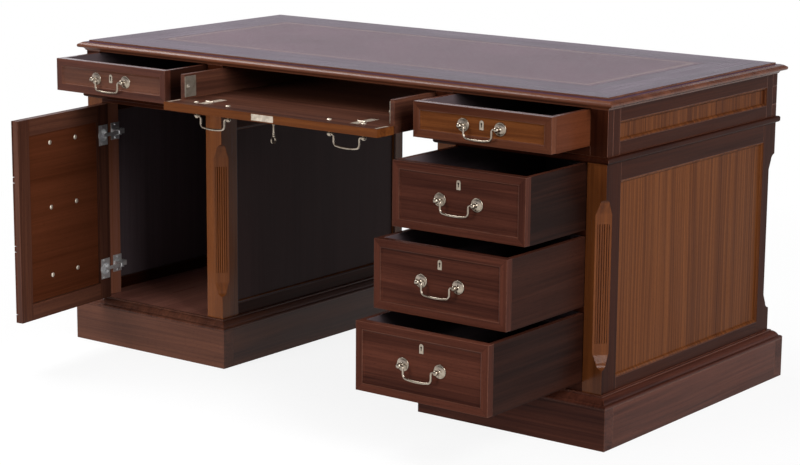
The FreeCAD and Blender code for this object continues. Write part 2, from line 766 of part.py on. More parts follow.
def make_pedestal_drawers():
    names = ("upper_pedestal_drawer", "middle_pedestal_drawer", "lower_pedestal_drawer")
    rails = []
    for name, (floor, height), pull in zip(names, pedestal_levels(), PEDESTAL_PULLS):
        make_drawer(name, opening_inner, opening_outer, floor, height,
                    PEDESTAL_DRAWER_DEPTH, pull, KEY_DROP)
        low = base_top if name.startswith("lower") else floor - DRAWER_RAIL
        rail_back = -body_y + RAIL_DEPTH
        run = (rail_back, body_y - FRAME_THICKNESS, low, floor)
        guide_run = (-post_back, post_back, low, floor + GUIDE_RISE)
        rails += [
            box(opening_inner, opening_outer, -body_y, rail_back, low, floor),
            box(opening_inner, opening_inner + RUNNER_WIDTH, *run),
            box(opening_outer - RUNNER_WIDTH, opening_outer, *run),
            box(inner_x + FRAME_THICKNESS, opening_inner, *guide_run),
            box(opening_outer, body_x - FRAME_THICKNESS, *guide_run),
        ]
    export("pedestal_drawer_rails", rails)


# ---------------------------------------------------------------- drop-front tray
tray_half = KNEEHOLE_BAY / 2 - TRAY_SIDE_GAP
tray_floor = tray_low + TRAY_FLOOR
tray_front = -body_y + FLAP_THICKNESS
flap_top = frieze_top - FRONT_GAP
flap_half = KNEEHOLE_BAY / 2 - FLAP_END_GAP
flap_axis_y = tray_front - FLAP_GAP / 2
flap_axis_z = tray_floor + FLAP_GAP / 2
flap_inner_face = tray_front - FLAP_GAP
flap_handle_z = (frieze_floor + frieze_top) / 2

HINGE_X = 228.0
HINGE_WIDTH = 22.0
TRAY_LEAF = 50.0
FLAP_LEAF = 30.0
LEAF_THICKNESS = 1.6
BARREL_RADIUS = 2.6
HINGE_PIN = 1.1
FLAP_HANDLE_X = 201.0
KEY_X = 4.0
KEY_INSET = 20.0
KEY_SHANK = 2.2
KEY_REACH = 34.0
KEY_BIT_REACH = 4.0
BOW_OFFSET = 7.0
BOW_RADIUS = 9.0
BOW_EYE = 5.2
BOW_THICKNESS = 3.0
LOCK_PLATE_WIDTH = 66.0
LOCK_PLATE_HEIGHT = 15.0
LOCK_PLATE_THICKNESS = 2.4
LOCK_WIDTH = 56.0
LOCK_DEPTH = 27.0
LOCK_THICKNESS = 11.0
LOCK_OFFSET = -18.0
BOLT_HEAD = 6.2
BOLT_RISE = 2.4
CATCH_LENGTH = 38.0
CATCH_HEIGHT = 50.0
CATCH_THICKNESS = 2.0
CATCH_RISE = 4.0
CATCH_END_GAP = 0.6
BULLET_INSET = 9.0
BULLET_FLANGE = 6.0
BULLET_RADIUS = 4.2
BULLET_REACH = 7.6
STRIKE_WIDTH = 7.0
STRIKE_THICKNESS = 1.2
STRIKE_INSET = 9.0
STRIKE_RISE = 12.0
STRIKE_TOP_GAP = 6.0


def knuckle(start, length):
    return turning([(BARREL_RADIUS, 0.0), (BARREL_RADIUS, length)], 8, start, X_AXIS)


def tray_leaf(x):
    """The tray's half of a flap hinge: a sunk leaf with the two outer knuckles."""
    half = HINGE_WIDTH / 2
    leaf = box(x - half, x + half, flap_axis_y + BARREL_RADIUS + 0.4, tray_front + TRAY_LEAF,
               tray_floor - LEAF_THICKNESS, tray_floor)
    third = HINGE_WIDTH / 3
    shape = leaf
    for start in (x - half, x + half - third + 0.2):
        centre = Vector(start, flap_axis_y, flap_axis_z)
        barrel = knuckle(centre, third - 0.2)
        web = box(start, start + third - 0.2, flap_axis_y, flap_axis_y + BARREL_RADIUS + 0.6,
                  tray_floor - LEAF_THICKNESS, tray_floor)
        hole = pin_bore(HINGE_PIN, third, centre, X_AXIS)
        shape = shape.fuse(barrel.fuse(web).cut(hole))
    return shape.removeSplitter()


def flap_leaf(x):
    """The flap's half of a hinge, modelled shut: leaf, middle knuckle and its pin."""
    third = HINGE_WIDTH / 3
    half = HINGE_WIDTH / 2
    leaf = box(x - half, x + half, flap_inner_face - LEAF_THICKNESS, flap_inner_face,
               flap_axis_z + BARREL_RADIUS + 0.4, flap_axis_z + FLAP_LEAF)
    centre = Vector(x - third / 2 + 0.1, flap_axis_y, flap_axis_z)
    barrel = knuckle(centre, third - 0.2)
    web = box(x - third / 2 + 0.1, x + third / 2 - 0.1, flap_inner_face - LEAF_THICKNESS,
              flap_inner_face, flap_axis_z, flap_axis_z + BARREL_RADIUS + 0.6)
    pin = turning([(HINGE_PIN, 0.0), (HINGE_PIN, HINGE_WIDTH)], PIN_FLAT_COUNT,
                  Vector(x - half, flap_axis_y, flap_axis_z), X_AXIS)
    return leaf.fuse(barrel).fuse(web).fuse(pin).removeSplitter()


def knuckle_seat(x):
    """Clearance round one hinge's knuckles, cut from the tray's floor and the flap."""
    length = HINGE_WIDTH + 1.0
    radius = BARREL_RADIUS + 0.4
    return turning([(radius, 0.0), (radius, length)], 8,
                   Vector(x - length / 2, flap_axis_y, flap_axis_z), X_AXIS)


def tray_catch():
    """A sprung bullet on a plate, let in to the face of the tray's right side."""
    face = tray_half - TRAY_SIDE
    front = tray_front + CATCH_END_GAP
    low = tray_floor + CATCH_RISE
    plate = box(face - CATCH_THICKNESS, face, front, front + CATCH_LENGTH, low,
                low + CATCH_HEIGHT)
    bullet = [
        (BULLET_FLANGE, 0.0),
        (BULLET_FLANGE, 0.40 * BULLET_REACH),
        (BULLET_RADIUS, 0.48 * BULLET_REACH),
        (0.92 * BULLET_RADIUS, 0.74 * BULLET_REACH),
        (0.52 * BULLET_RADIUS, BULLET_REACH),
    ]
    place = Vector(face - CATCH_THICKNESS, front + BULLET_INSET, low + CATCH_HEIGHT / 2)
    return plate.fuse(turning(bullet, 8, place, -X_AXIS))


def make_tray():
    """Floor, sides and back of the sliding tray, with the parts that stay on it."""
    end = tray_front + TRAY_DEPTH
    side_top = flap_top - 3.0
    floor = box(-tray_half, tray_half, tray_front, end, tray_low, tray_floor)
    side = box(tray_half - TRAY_SIDE, tray_half, tray_front, end, tray_floor, side_top)
    back = box(TRAY_SIDE - tray_half, tray_half - TRAY_SIDE, end - TRAY_SIDE, end, tray_floor,
               side_top - BACK_DROP)
    leaves = [tray_leaf(-HINGE_X), tray_leaf(HINGE_X)]
    for x in (-HINGE_X, HINGE_X):
        floor = floor.cut(knuckle_seat(x))
        half = HINGE_WIDTH / 2
        floor = floor.cut(box(x - half, x + half, tray_front - 1, tray_front + TRAY_LEAF,
                              tray_floor - LEAF_THICKNESS, tray_floor))
    pieces = {
        "tray_box": [floor, back] + both_sides([side]),
        "tray_hinge_leaves": leaves,
        "tray_catches": both_sides([tray_catch()]),
    }
    for node, shapes in pieces.items():
        export(node, [moved(shape, y=-TRAY_PULL) for shape in shapes])


def strike_plate():
    """The plate at the flap's right end that the tray's catch meets, modelled shut."""
    x = flap_half - STRIKE_INSET
    return box(x - STRIKE_WIDTH / 2, x + STRIKE_WIDTH / 2, flap_inner_face - STRIKE_THICKNESS,
               flap_inner_face, tray_floor + STRIKE_RISE, flap_top - STRIKE_TOP_GAP)


def flap_place(shape):
    """From the shut flap's place to where it lies let down, with the tray drawn out."""
    axis = Vector(0, flap_axis_y, flap_axis_z)
    return moved(turned(shape, axis, X_AXIS, 90), y=-TRAY_PULL)


def key_place():
    """Axis of the key in the shut flap: through the face, KEY_INSET below its top edge."""
    return Vector(KEY_X, -body_y, flap_top - KEY_INSET)


def flap_lock_block():
    """The solid outline of the flap's lock: a face plate in the top edge and its case."""
    middle_x = KEY_X + LOCK_OFFSET
    middle_y = -body_y + FLAP_THICKNESS / 2
    outline = None
    for width, thickness, depth in (
        (LOCK_PLATE_WIDTH, LOCK_PLATE_HEIGHT, LOCK_PLATE_THICKNESS),
        (LOCK_WIDTH, LOCK_THICKNESS, LOCK_DEPTH),
    ):
        block = box(middle_x - width / 2, middle_x + width / 2, middle_y - thickness / 2,
                    middle_y + thickness / 2, flap_top - depth, flap_top)
        outline = outline.fuse(block) if outline else block
    return outline.removeSplitter()


def flap_lock():
    """Lock let in to the flap's top edge, bored for its key."""
    return flap_lock_block().cut(pin_bore(KEY_SHANK, FLAP_THICKNESS, key_place(), Y_AXIS))


def flap_key():
    """Key with a round shank, collars and a pierced oval bow, standing out of the flap."""
    key = key_place()
    inside = FLAP_THICKNESS / 2 + KEY_BIT_REACH
    outward = [
        (KEY_SHANK, -inside), (KEY_SHANK, 3.0), (3.6, 4.2), (3.6, 6.0), (KEY_SHANK, 7.4),
        (KEY_SHANK, 24.0), (3.4, 26.0), (2.6, 28.5), (3.9, 31.0), (2.4, KEY_REACH),
    ]
    centre = Vector(key.x - BOW_THICKNESS / 2, key.y - KEY_REACH - BOW_OFFSET, key.z)
    bow = turning([(BOW_RADIUS, 0.0), (BOW_RADIUS, BOW_THICKNESS)], 14, centre, X_AXIS)
    eye = turning([(BOW_EYE, 0.0), (BOW_EYE, BOW_THICKNESS)], 10, centre, X_AXIS)
    return turning(outward, 8, key, -Y_AXIS).fuse(bow).cut(eye)


def make_flap():
    """The drop front with its handles, hinges, lock and key, carried to where it lies."""
    low = flap_axis_z + FLAP_GAP / 2
    flap = box(-flap_half, flap_half, -body_y, flap_inner_face, low, flap_top)
    # The field runs out at the hinged edge, where the tray's floor is the border.
    field = sunk_field_cutter(2 * (flap_half - BORDER_WIDTH),
                              2 * (flap_top - BORDER_WIDTH - flap_handle_z),
                              FIELD_SINK, BORDER_OVOLO)
    run_out = moved(field, z=-BORDER_WIDTH)
    flap = flap.cut(moved(field.fuse(run_out), y=-body_y, z=flap_handle_z))
    for x in (-HINGE_X, HINGE_X):
        half = HINGE_WIDTH / 2
        flap = flap.cut(knuckle_seat(x))
        flap = flap.cut(box(x - half, x + half, flap_inner_face - LEAF_THICKNESS,
                            flap_inner_face + 1, low - 1, flap_axis_z + FLAP_LEAF))
    strikes = both_sides([strike_plate()])
    key_hole = pin_bore(KEY_SHANK + 0.6, FLAP_THICKNESS / 2, key_place(), Y_AXIS)
    for waste in strikes + [flap_lock_block(), key_hole]:
        flap = flap.cut(waste)

    face = -body_y + FIELD_SINK
    posts, bolts, bails = [], [], []
    for x in (-FLAP_HANDLE_X, FLAP_HANDLE_X):
        posts += [moved(post, x, face, flap_handle_z) for post in handle_posts()]
        bails.append(moved(bail(90), x, face, flap_handle_z))
        for side in (-1, 1):
            bolts.append(bolt_head(x + side * POST_SPACING / 2, flap_inner_face, flap_handle_z))
    pieces = {
        "flap_board": [flap],
        "flap_hinge_leaves": [flap_leaf(-HINGE_X), flap_leaf(HINGE_X)],
        "flap_fittings": posts + bolts + strikes + [flap_lock()],
        "left_flap_bail": [bails[0]],
        "right_flap_bail": [bails[1]],
        "flap_key": [flap_key()],
    }
    for node, shapes in pieces.items():
        export(node, [flap_place(shape) for shape in shapes])


# ---------------------------------------------------------------- cupboard door
door_left = -opening_outer + DOOR_GAP
door_right = -opening_inner - DOOR_GAP
door_low = base_top + DOOR_GAP
door_high = post_top - DOOR_HEAD_RAIL - DOOR_GAP
door_axis_x = -opening_outer
door_axis_y = -body_y - DOOR_GAP
HINGE_LEVELS = (198.0, 545.0)
CUP_RADIUS = 17.5
CUP_INSET = 23.0
CUP_DEPTH = 11.0
CUP_FLAT_COUNT = 16
FLANGE_RISE = 1.5
FLANGE_HEIGHT = 52.0
FLANGE_OUTWARD = 18.0
FLANGE_INWARD = 16.0
FLANGE_SCREWS = 44.0
SCREW_HEAD = 3.5
SCREW_RISE = 2.4
ARM_PLATE = 2.0
ARM_PLATE_HEIGHT = 44.0
ARM_SCREWS = 34.0
ARM_WIDTH = 13.0
ARM_BACK = 26.0
ARM_FRONT = 5.0
LINK_LENGTH = 62.0
LINK_THICKNESS = 5.0
LINK_HEIGHT = 8.0
LINK_PIN = 2.0

# The folding links stay parallel to the door, and touch its hinge flanges, but for a
# running gap, where it stands open.  That fixes how far from the post their pins are.
link_y = -body_y + DOOR_FRONT + DOOR_FRAME + 17.0
open_angle = math.radians(DOOR_SWING)
link_reach = (DOOR_FRONT + DOOR_FRAME + DOOR_GAP + FLANGE_RISE + RUNNER_GAP
              + LINK_THICKNESS / 2)
link_x = door_axis_x + ((link_reach - (link_y - door_axis_y) * math.cos(open_angle))
                        / math.sin(open_angle))


def door_place(shape):
    """From the shut door's place to where it stands open."""
    return turned(shape, Vector(door_axis_x, door_axis_y, 0), Z_AXIS, -DOOR_SWING)


def cup_centre(level):
    return Vector(door_left + CUP_INSET, -body_y + DOOR_FRONT + DOOR_FRAME, level)


def cup_block(level):
    """The solid outline of a hinge's cup, as bored out of the door."""
    outline = [(CUP_RADIUS, 0.0), (CUP_RADIUS, CUP_DEPTH)]
    return turning(outline, CUP_FLAT_COUNT, cup_centre(level), -Y_AXIS)


def screw_head(place, axis):
    """The head of a hinge's screw, standing on the face it holds down."""
    outline = [(SCREW_HEAD, 0.0), (SCREW_HEAD, 0.6 * SCREW_RISE), (0.66 * SCREW_HEAD, SCREW_RISE)]
    return turning(outline, 8, place, axis)


def hinge_cup(level):
    """The cup of a concealed hinge sunk in the door's back, with its flange."""
    centre = cup_centre(level)
    bottom = CUP_DEPTH - 1.5
    hollow = [(CUP_RADIUS - 2.0, -2 * FLANGE_RISE), (CUP_RADIUS - 2.0, bottom)]
    flange = box(centre.x - FLANGE_OUTWARD, centre.x + FLANGE_INWARD, centre.y,
                 centre.y + FLANGE_RISE, level - FLANGE_HEIGHT / 2, level + FLANGE_HEIGHT / 2)
    shape = cup_block(level).fuse(flange).cut(turning(hollow, CUP_FLAT_COUNT, centre, -Y_AXIS))
    for side in (-1, 1):
        place = Vector(centre.x + 5.0, centre.y, level + side * FLANGE_SCREWS / 2)
        shape = shape.fuse(screw_head(place, Y_AXIS))
    return shape.removeSplitter()


def hinge_arm(level):
    """Mounting plate on the post's inner face, with an arm whose fork holds the link's pin."""
    wall = -opening_outer
    plate_x = wall + ARM_PLATE
    eye = LINK_PIN + 3.0
    half = ARM_WIDTH / 2
    arm_end = link_x - eye - 0.8
    arm_front, arm_back = link_y - ARM_FRONT, link_y + ARM_BACK
    plate = box(wall, plate_x, link_y - 8.0, link_y + 22.0, level - ARM_PLATE_HEIGHT / 2,
                level + ARM_PLATE_HEIGHT / 2)
    arm = box(plate_x, arm_end, arm_front, arm_back, level - half, level + half)
    cheek_low = LINK_HEIGHT / 2 + RUNNER_GAP
    cheek = box(arm_end, link_x + eye, arm_front, link_y + ARM_FRONT, level + cheek_low,
                level + half)
    other_cheek = moved(cheek, z=-(cheek_low + half))
    pin = turning([(LINK_PIN, -half), (LINK_PIN, half)], PIN_FLAT_COUNT,
                  Vector(link_x, link_y, level), Z_AXIS)
    shape = plate.fuse([arm, cheek, other_cheek, pin])
    for side in (-1, 1):
        place = Vector(plate_x, link_y + 7.0, level + side * ARM_SCREWS / 2)
        shape = shape.fuse(screw_head(place, X_AXIS))
    return shape.removeSplitter()


def hinge_link(level):
    """The folding link of a concealed hinge, with the door shut: an eye and a flat bar."""
    half = LINK_HEIGHT / 2
    base = Vector(link_x, link_y, level - half)
    eye = turning([(LINK_PIN + 3.0, 0.0), (LINK_PIN + 3.0, LINK_HEIGHT)], 12, base, Z_AXIS)
    bar = box(link_x, link_x + LINK_LENGTH, link_y - LINK_THICKNESS / 2,
              link_y + LINK_THICKNESS / 2, level - half, level + half)
    return eye.fuse(bar).cut(pin_bore(LINK_PIN, LINK_HEIGHT, base, Z_AXIS))


def make_door():
    front = -body_y
    joint = front + DOOR_FRONT
    back = joint + DOOR_FRAME
    inner_left, inner_right = door_left + DOOR_STILE, door_right - DOOR_STILE
    stile_left = box(door_left, inner_left, joint, back, door_low, door_high)
    stile_right = box(inner_right, door_right, joint, back, door_low, door_high)
    for level in HINGE_LEVELS:
        stile_left = stile_left.cut(cup_block(level))
    frame = [
        stile_left,
        stile_right,
        box(inner_left, inner_right, joint, back, door_low, door_low + DOOR_STILE),
        box(inner_left, inner_right, joint, back, door_high - DOOR_STILE, door_high),
    ]
    panel = box(inner_left, inner_right, joint, joint + DOOR_PANEL, door_low + DOOR_STILE,
                door_high - DOOR_STILE)

    # False drawer fronts and the strips between them, in line with the real ones.
    fronts, strips, fittings, bolts, bails = [], [], [], [], []
    middle_x = (door_left + door_right) / 2
    face = front + FIELD_SINK
    names = ("upper_door_bail", "middle_door_bail", "lower_door_bail")
    for name, (floor, height) in zip(names, pedestal_levels()):
        low, high = floor + FRONT_GAP, floor + FRONT_GAP + height
        high = min(high, door_high)
        false_front = framed_front(door_left, door_right, low, high, DOOR_FRONT)
        fronts.append(false_front)
        strip_low = door_low if name.startswith("lower") else floor - DRAWER_RAIL
        strips.append(box(door_left, door_right, front, joint, strip_low, floor))
        middle_z = (low + high) / 2
        fittings += [moved(post, middle_x, face, middle_z) for post in handle_posts()]
        fittings.append(moved(escutcheon(), middle_x, face, high - KEY_DROP))
        bails.append((name, moved(bail(0), middle_x, face, middle_z)))
        for side in (-1, 1):
            x = middle_x + side * POST_SPACING / 2
            bolts.append(bolt_head(x, joint + DOOR_PANEL, middle_z))
    pieces = {
        "door_frame": frame,
        "door_panel": [panel],
        "door_false_fronts": fronts + strips,
        "door_fittings": fittings + bolts,
        "door_hinge_cups": [hinge_cup(level) for level in HINGE_LEVELS],
    }
    for node, shapes in pieces.items():
        export(node, [door_place(shape) for shape in shapes])
    for name, shape in bails:
        export(name, [door_place(shape)])
    export("door_hinge_arms", [hinge_arm(level) for level in HINGE_LEVELS])
    links = [hinge_link(level) for level in HINGE_LEVELS]
    pivot = Vector(link_x, link_y, 0)
    export("door_hinge_links", [turned(link, pivot, Z_AXIS, -DOOR_SWING) for link in links])


make_top()
make_frieze()
make_pedestal("left", -1)
make_pedestal("right", 1)
make_frieze_drawers()
make_pedestal_drawers()
make_tray()
make_flap()
make_door()
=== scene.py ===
import json
import math
import random

import bmesh
import bpy
from bpy.props import FloatProperty, FloatVectorProperty, IntProperty, PointerProperty
from mathutils import Matrix, Vector

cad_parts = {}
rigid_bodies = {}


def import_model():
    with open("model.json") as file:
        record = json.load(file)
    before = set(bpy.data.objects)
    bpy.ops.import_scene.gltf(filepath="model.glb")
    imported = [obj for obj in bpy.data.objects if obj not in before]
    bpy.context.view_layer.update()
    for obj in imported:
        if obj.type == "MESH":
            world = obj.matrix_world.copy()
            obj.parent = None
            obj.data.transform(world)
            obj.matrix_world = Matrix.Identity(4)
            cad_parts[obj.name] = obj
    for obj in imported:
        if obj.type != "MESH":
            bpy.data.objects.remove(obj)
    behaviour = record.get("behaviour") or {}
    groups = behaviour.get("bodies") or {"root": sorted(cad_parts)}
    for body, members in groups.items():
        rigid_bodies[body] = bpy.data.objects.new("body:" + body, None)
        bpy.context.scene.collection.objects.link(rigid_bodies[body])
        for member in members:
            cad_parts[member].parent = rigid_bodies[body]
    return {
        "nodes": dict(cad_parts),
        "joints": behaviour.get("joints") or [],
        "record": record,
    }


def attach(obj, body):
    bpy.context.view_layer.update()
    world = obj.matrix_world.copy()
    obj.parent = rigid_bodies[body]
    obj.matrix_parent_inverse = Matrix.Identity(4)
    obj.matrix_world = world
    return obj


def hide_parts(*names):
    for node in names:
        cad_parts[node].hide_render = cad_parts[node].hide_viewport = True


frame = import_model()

bl_info = {
    "name": "Partners desk",
    "version": (1, 0, 0),
    "blender": (4, 5, 0),
    "location": "3D View > Sidebar > Desk",
    "description": "Finishes a pedestal writing desk in polished wood, leather and metal",
    "category": "Object",
}

NODES = frame["nodes"]
BODY_OF_NODE = {
    node: body
    for body, nodes in frame["record"]["behaviour"]["bodies"].items()
    for node in nodes
}
JOINTS = {joint["name"]: joint for joint in frame["joints"]}
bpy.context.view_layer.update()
DOOR_SWING = math.radians(JOINTS["door_hinge"]["range_deg"][1])
X, Y, Z = range(3)

# The finish of each drawer's front, and that of the boards of its box; the upper drawer's box is
# made darker as painted shade
DRAWERS = {
    "left_frieze_drawer": ("dark_frieze", "box"),
    "right_frieze_drawer": ("frieze", "door"),
    "upper_pedestal_drawer": ("front", "dark_box"),
    "middle_pedestal_drawer": ("front", "box"),
    "lower_pedestal_drawer": ("lower_front", "box"),
}

# The bails, with the names that their joints and nodes start with
BAILS = (*DRAWERS, "upper_door", "middle_door", "lower_door", "left_flap", "right_flap")


# ---- settings
def colour(name, description, default):
    """A colour that a user can change"""
    return FloatVectorProperty(name=name, description=description, default=default,
                               subtype="COLOR", size=3, min=0.0, max=1.0)


def length(name, description, default):
    """A length in metres"""
    return FloatProperty(name=name, description=description, default=default,
                         unit="LENGTH", min=0.0)


def share(name, description, default):
    """A part of one"""
    return FloatProperty(name=name, description=description, default=default,
                         subtype="FACTOR", min=0.0, max=1.0)


def angle(name, description, degrees):
    """An angle, given in degrees and kept in radians"""
    return FloatProperty(name=name, description=description, default=math.radians(degrees),
                         subtype="ANGLE")


def power(name, description, default):
    """The power of a lamp in watts"""
    return FloatProperty(name=name, description=description, default=default,
                         unit="POWER", min=0.0)


# Where each wood is, and the colours of its dark and light streaks
WOODS = {
    "frame": ("rails and waist mouldings", (0.014, 0.003, 0.0015), (0.050, 0.0125, 0.005)),
    "plinth": ("left plinth, tray and door frame", (0.030, 0.010, 0.007), (0.150, 0.056, 0.032)),
    "post": ("the canted posts", (0.070, 0.018, 0.005), (0.225, 0.070, 0.018)),
    "panel": ("the panels", (0.050, 0.013, 0.004), (0.180, 0.058, 0.016)),
    "front": ("drawer fronts and right plinth", (0.022, 0.006, 0.004), (0.118, 0.036, 0.021)),
    "frieze": ("the right frieze front", (0.050, 0.012, 0.004), (0.230, 0.074, 0.018)),
    "door": ("the door's panel", (0.050, 0.012, 0.004), (0.115, 0.032, 0.013)),
    "box": ("the drawers' boards", (0.009, 0.003, 0.002), (0.038, 0.012, 0.007)),
    "shelf": ("the pedestals' floor", (0.120, 0.042, 0.030), (0.300, 0.125, 0.090)),
    # the kneehole's panels are darker and plain, as painted shade
    "kneehole": ("the kneehole's panels", (0.048, 0.027, 0.026), (0.066, 0.037, 0.036)),
    "lining": ("pedestals and drawers inside", (0.072, 0.052, 0.056), (0.104, 0.077, 0.083)),
    # dark wood with a purple tint that is painted reflected sheen
    "top": ("the top's border", (0.026, 0.010, 0.022), (0.080, 0.034, 0.066)),
    "moulding": ("the top's moulding", (0.045, 0.012, 0.006), (0.165, 0.056, 0.027)),
    # the near-black of the frieze's dividers is painted shade
    "inside": ("the dividers in the frieze", (0.004, 0.003, 0.004), (0.012, 0.009, 0.009)),
}


class WoodSettings(bpy.types.PropertyGroup):
    """Colours and polish of the woods"""
    __annotations__ = {
        f"{kind}_{streak}": colour(f"{kind.capitalize()}, {streak}",
                                   f"{streak.capitalize()} streaks of {where}", default)
        for kind, (where, *defaults) in WOODS.items()
        for streak, default in zip(("dark", "light"), defaults)
    }
    gloss: share("Gloss", "Strength of the reflections of the polish", 0.040)
    rubbed: length("Rubbed edge", "Width of the softened edges", 0.0009)


class LeatherSettings(bpy.types.PropertyGroup):
    """Colour and tooling of the writing leather"""
    hide_dark: colour("Hide, dark", "Colour in the grain of the hide", (0.060, 0.022, 0.033))
    hide_light: colour("Hide, light", "Colour on top of the grain", (0.162, 0.074, 0.104))
    gilt: colour("Gilt", "Colour of the tooled line", (0.620, 0.470, 0.340))
    line_inset: length("Line inset", "From the leather's edge to the tooled line", 0.016)
    line_width: length("Line width", "Width of the tooled line", 0.0030)


class MetalSettings(bpy.types.PropertyGroup):
    """Colours and sizes of the handles and hinges"""
    nickel: colour("Nickel", "Bright colour of the handles", (0.43, 0.365, 0.29))
    bolt: colour("Bolt", "Colour of bolt heads, strikes and strap hinges", (0.74, 0.64, 0.52))
    patina: colour("Patina", "Darker colour in the hollows of the metal", (0.17, 0.13, 0.09))
    plate: colour("Plate", "Bright colour of the door's hinges", (0.80, 0.80, 0.80))
    catch: colour("Catch", "Colour of the tray's catches", (0.30, 0.26, 0.21))
    post_spacing: length("Handle posts", "Distance between the two posts", 0.098)
    pivot_reach: length("Pivot reach", "From the front's face to the bail's pins", 0.016)
    rose_radius: length("Rose", "Radius of a handle's rose", 0.0155)
    knob_radius: length("Knob", "Radius of a handle's knob", 0.0062)
    bail_drop: length("Bail drop", "How far a bail hangs below its pins", 0.0285)
    bail_bow: length("Bail bow", "How far the middle of a bail bows down", 0.0015)
    bail_wire: length("Bail wire", "Radius of a bail in its middle", 0.0028)
    turns: IntProperty(name="Turning sides", description="Sides of a turned piece",
                       default=32, min=12, max=64)


class StageSettings(bpy.types.PropertyGroup):
    """Camera, lamps and floor"""
    lens: FloatProperty(name="Lens", description="Focal length of the camera",
                        default=0.10342, unit="CAMERA", min=0.01)
    camera_at: FloatVectorProperty(name="Camera", description="Where the camera stands",
                                   default=(3.3712, -4.37205, 1.5076), size=3,
                                   subtype="TRANSLATION", unit="LENGTH")
    yaw: angle("Yaw", "Turn of the camera to the left", 37.07)
    pitch: angle("Pitch", "How far the camera looks down", 11.85)
    roll: angle("Roll", "Lean of the camera", 0.44)
    floor_colour: colour("Floor", "Colour of the floor", (0.95, 0.95, 0.95))
    floor_bounce: share("Floor bounce", "How much light the floor throws back up", 0.32)
    key_power: power("Key lamp", "Power of the lamp on the right", 210.0)
    fill_power: power("Fill lamp", "Power of the lamp at the front left", 135.0)
    top_power: power("Top lamp", "Power of the lamp overhead", 110.0)
    sky: FloatProperty(name="Sky", description="Strength of the light from all round",
                       default=0.25, min=0.0)
    ceiling: share("Ceiling", "Brightness of the room above the backdrop", 0.13)


# ---- shader helpers
class Nodes:
    """Short ways to add and join the nodes of one tree"""

    def __init__(self, tree):
        self.tree = tree

    def add(self, kind, *values, **settings):
        """A new node with these settings, and these values or links on its first inputs"""
        node = self.tree.nodes.new(kind)
        for name, value in settings.items():
            setattr(node, name, value)
        for socket, value in zip(node.inputs, values):
            self.set(socket, value)
        return node

    def set(self, socket, value):
        """A socket takes a number or colour, or a link from another node's output"""
        if isinstance(value, bpy.types.NodeSocket):
            self.tree.links.new(value, socket)
        elif value is not None:
            socket.default_value = value

    def math(self, operation, first, second=None, clamp=False):
        node = self.add("ShaderNodeMath", first, second, operation=operation, use_clamp=clamp)
        return node.outputs[0]

    def plus(self, first, second):
        return self.math("ADD", first, second)

    def minus(self, first, second):
        return self.math("SUBTRACT", first, second)

    def times(self, first, second):
        return self.math("MULTIPLY", first, second)

    def apart(self, first, second):
        """How far two numbers lie apart"""
        return self.math("ABSOLUTE", self.minus(first, second))

    def mix(self, factor, first, second, kind="RGBA"):
        """The first value where the factor is 0, the second where it is 1"""
        node = self.add("ShaderNodeMix", factor, data_type=kind)
        offset = {"FLOAT": 2, "VECTOR": 4, "RGBA": 6}[kind]
        self.set(node.inputs[offset], first)
        self.set(node.inputs[offset + 1], second)
        return node.outputs[{"FLOAT": 0, "VECTOR": 1, "RGBA": 2}[kind]]

    def moved(self, vector, by):
        return self.add("ShaderNodeVectorMath", vector, by, operation="ADD").outputs[0]

    def stretched(self, vector, scale):
        node = self.add("ShaderNodeMapping", vector)
        node.inputs["Scale"].default_value = scale
        return node.outputs[0]

    def noise(self, vector, scale=1.0, detail=2.0, roughness=0.5):
        node = self.add("ShaderNodeTexNoise", vector)
        node.inputs["Scale"].default_value = scale
        node.inputs["Detail"].default_value = detail
        node.inputs["Roughness"].default_value = roughness
        return node.outputs["Fac"]

    def levels(self, value, low, high, to_low=0.0, to_high=1.0):
        """Takes low to to_low, high to to_high and what lies between in proportion"""
        return self.add("ShaderNodeMapRange", value, low, high, to_low, to_high).outputs[0]

    def attribute(self, name, output="Vector"):
        return self.add("ShaderNodeAttribute", attribute_name=name).outputs[output]

    def object_place(self):
        return self.add("ShaderNodeTexCoord").outputs["Object"]

    def parts(self, vector):
        return self.add("ShaderNodeSeparateXYZ", vector).outputs

    def joined(self, x, y, z):
        return self.add("ShaderNodeCombineXYZ", x, y, z).outputs[0]

    def bumped(self, height, strength, distance):
        node = self.add("ShaderNodeBump")
        node.inputs["Strength"].default_value = strength
        node.inputs["Distance"].default_value = distance
        self.set(node.inputs["Height"], height)
        return node.outputs[0]


def opaque(shade):
    """A colour of three numbers as a colour socket takes it"""
    return (*shade, 1.0)


def emptied(owner):
    """The node helper of a material or world whose nodes are cleared away"""
    owner.use_nodes = True
    owner.node_tree.nodes.clear()
    return Nodes(owner.node_tree)


def new_material(name):
    """A material with only a principled shader, its node helper and the shader's inputs"""
    material = bpy.data.materials.new(name)
    n = emptied(material)
    shader = n.add("ShaderNodeBsdfPrincipled")
    n.add("ShaderNodeOutputMaterial", shader.outputs[0])
    return material, n, shader.inputs


def made_once(make):
    """Lets a function give back the material of a name that it has made before"""
    def find_or_make(name, *given, **named):
        return bpy.data.materials.get(name) or make(name, *given, **named)
    return find_or_make


def edge_distances(n):
    """Distances from a point to its piece's nearest edges across and along, in metres"""
    place = n.parts(n.attribute("place"))
    reach = n.parts(n.attribute("reach"))
    across = n.minus(reach[X], n.math("ABSOLUTE", place[X]))
    along = n.minus(reach[Y], n.math("ABSOLUTE", place[Y]))
    return across, along


# ---- woods
# How often the parts of the figure change in a metre: along a board, then across it
FLOW = (1.3, 9.0, 9.0)
BROAD_STREAKS = (0.9, 21.0, 21.0)
FINE_STREAKS = (3.2, 170.0, 170.0)
RIBBONS = (0.4, 165.0, 15.0)
PORES = (70.0, 1500.0, 1500.0)
HAND_MARKS = (4.0, 7.0, 7.0)

